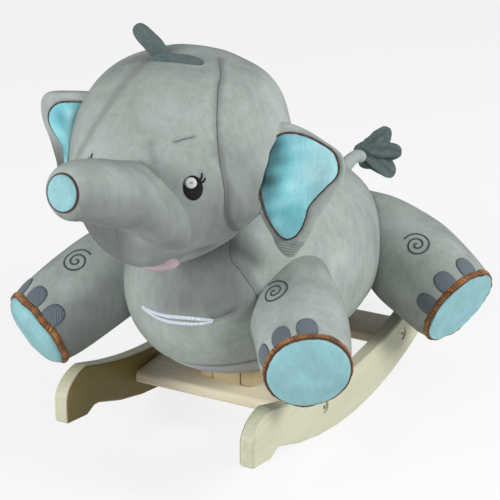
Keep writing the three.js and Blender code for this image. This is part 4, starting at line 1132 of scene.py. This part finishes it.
# Chest lines
tapered = 2.3 * np.sin(np.linspace(0.25, np.pi - 0.25, line_steps)) ** 0.5
upper_line = [(-31, -262, 200), (-16, -267, 198), (1, -268, 197), (18, -266, 197), (34, -260, 196),
              (46, -253, 194), (52, -248, 192)]
lower_line = [(-32, -261, 198), (-20, -265, 195), (-6, -267, 191.5), (6, -267, 190), (20, -264, 189.5),
              (33, -259, 189), (45, -253, 190), (51, -249, 191)]
make_piece("chest_stitching", [bag_body.line(into_body(line), tapered, 1.1)
                               for line in (upper_line, lower_line)], chest_thread)
# A thin dark line in each seam's crease: painted shade.
make_piece("seam_lines", bag_head.seam_lines(0.5, (0, 3)) + bag_body.seam_lines(0.5, (0, 1)), seam_crease_shade)

# Seat foam and wooden parts
foam_low, foam_high = ((np.array(corner) - toy_origin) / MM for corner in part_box("seat_foam"))
foam_rows = ball_directions(50, 80, pole="z")
boxy = np.sign(foam_rows) * np.abs(foam_rows) ** 0.5
make_piece("seat_foam_pad", foam_low + (foam_high - foam_low) * (boxy + 1) / 2, foam_cream,
           stands_for=["seat_foam"])
finishes = {"runner_": birch_rocker, "slat_": birch_slat, "frame_rail": ply_frame, "frame_block": ply_frame,
            "seat_board": ply_frame, "rocker_bolt": bolt_steel, "barrel_nut": bolt_steel,
            "frame_bolt": bolt_steel}
for name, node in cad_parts.items():
    for prefix, finish in finishes.items():
        if name.startswith(prefix) and not node.hide_render:
            node.data.materials.clear()
            node.data.materials.append(finish)

# Floor: white where the camera and mirrors see it, with the toy's soft shadow
floor_reach = 9.0
mesh = bpy.data.meshes.new("floor")
mesh.from_pydata([(x * floor_reach, y * floor_reach, 0) for x, y in ((-1, -1), (1, -1), (1, 1), (-1, 1))], [],
                 [(0, 1, 2, 3)])
floor_white = bpy.data.materials.new("floor_white")
floor_white.use_nodes = True
floor_white.node_tree.nodes.clear()
nodes = Nodes(floor_white.node_tree)
matt = nodes.add("BsdfDiffuse", {"Color": (0.82, 0.82, 0.82, 1)})
glow = nodes.add("Emission", {"Color": (1, 1, 1, 1), "Strength": 1.0})
nodes.end("Material", nodes.add("MixShader", {0: nodes.seen_directly() * 0.6 + 0.2, 1: matt, 2: glow}))
mesh.materials.append(floor_white)
put("floor", mesh)

# Lamps and world
for name, place, aim, size, watts in (("key_lamp", (2.2, 0.4, 1.3), (0, 0, 0.25), 1.1, 50),
                                      ("fill_lamp", (-1.2, -2.4, 1.1), (0, 0, 0.25), 1.2, 60),
                                      ("top_lamp", (0.6, 0.7, 2.3), (0, 0, 0.2), 1.6, 5)):
    light = bpy.data.lights.new(name, "AREA")
    light.shape, light.size, light.energy = "DISK", size, watts
    lamp = put(name, light)
    lamp.location = place
    lamp.rotation_euler = (Vector(aim) - Vector(place)).to_track_quat("-Z", "Y").to_euler()
world = bpy.data.worlds.new("studio")
bpy.context.scene.world = world
world.use_nodes = True
world.node_tree.nodes.clear()
nodes = Nodes(world.node_tree)
sky_strength = nodes.seen_directly() * 0.74 + 0.26
nodes.end("World", nodes.add("Background", {"Color": (1, 1, 1, 1), "Strength": sky_strength}))
bpy.context.scene.view_settings.view_transform = "Standard"
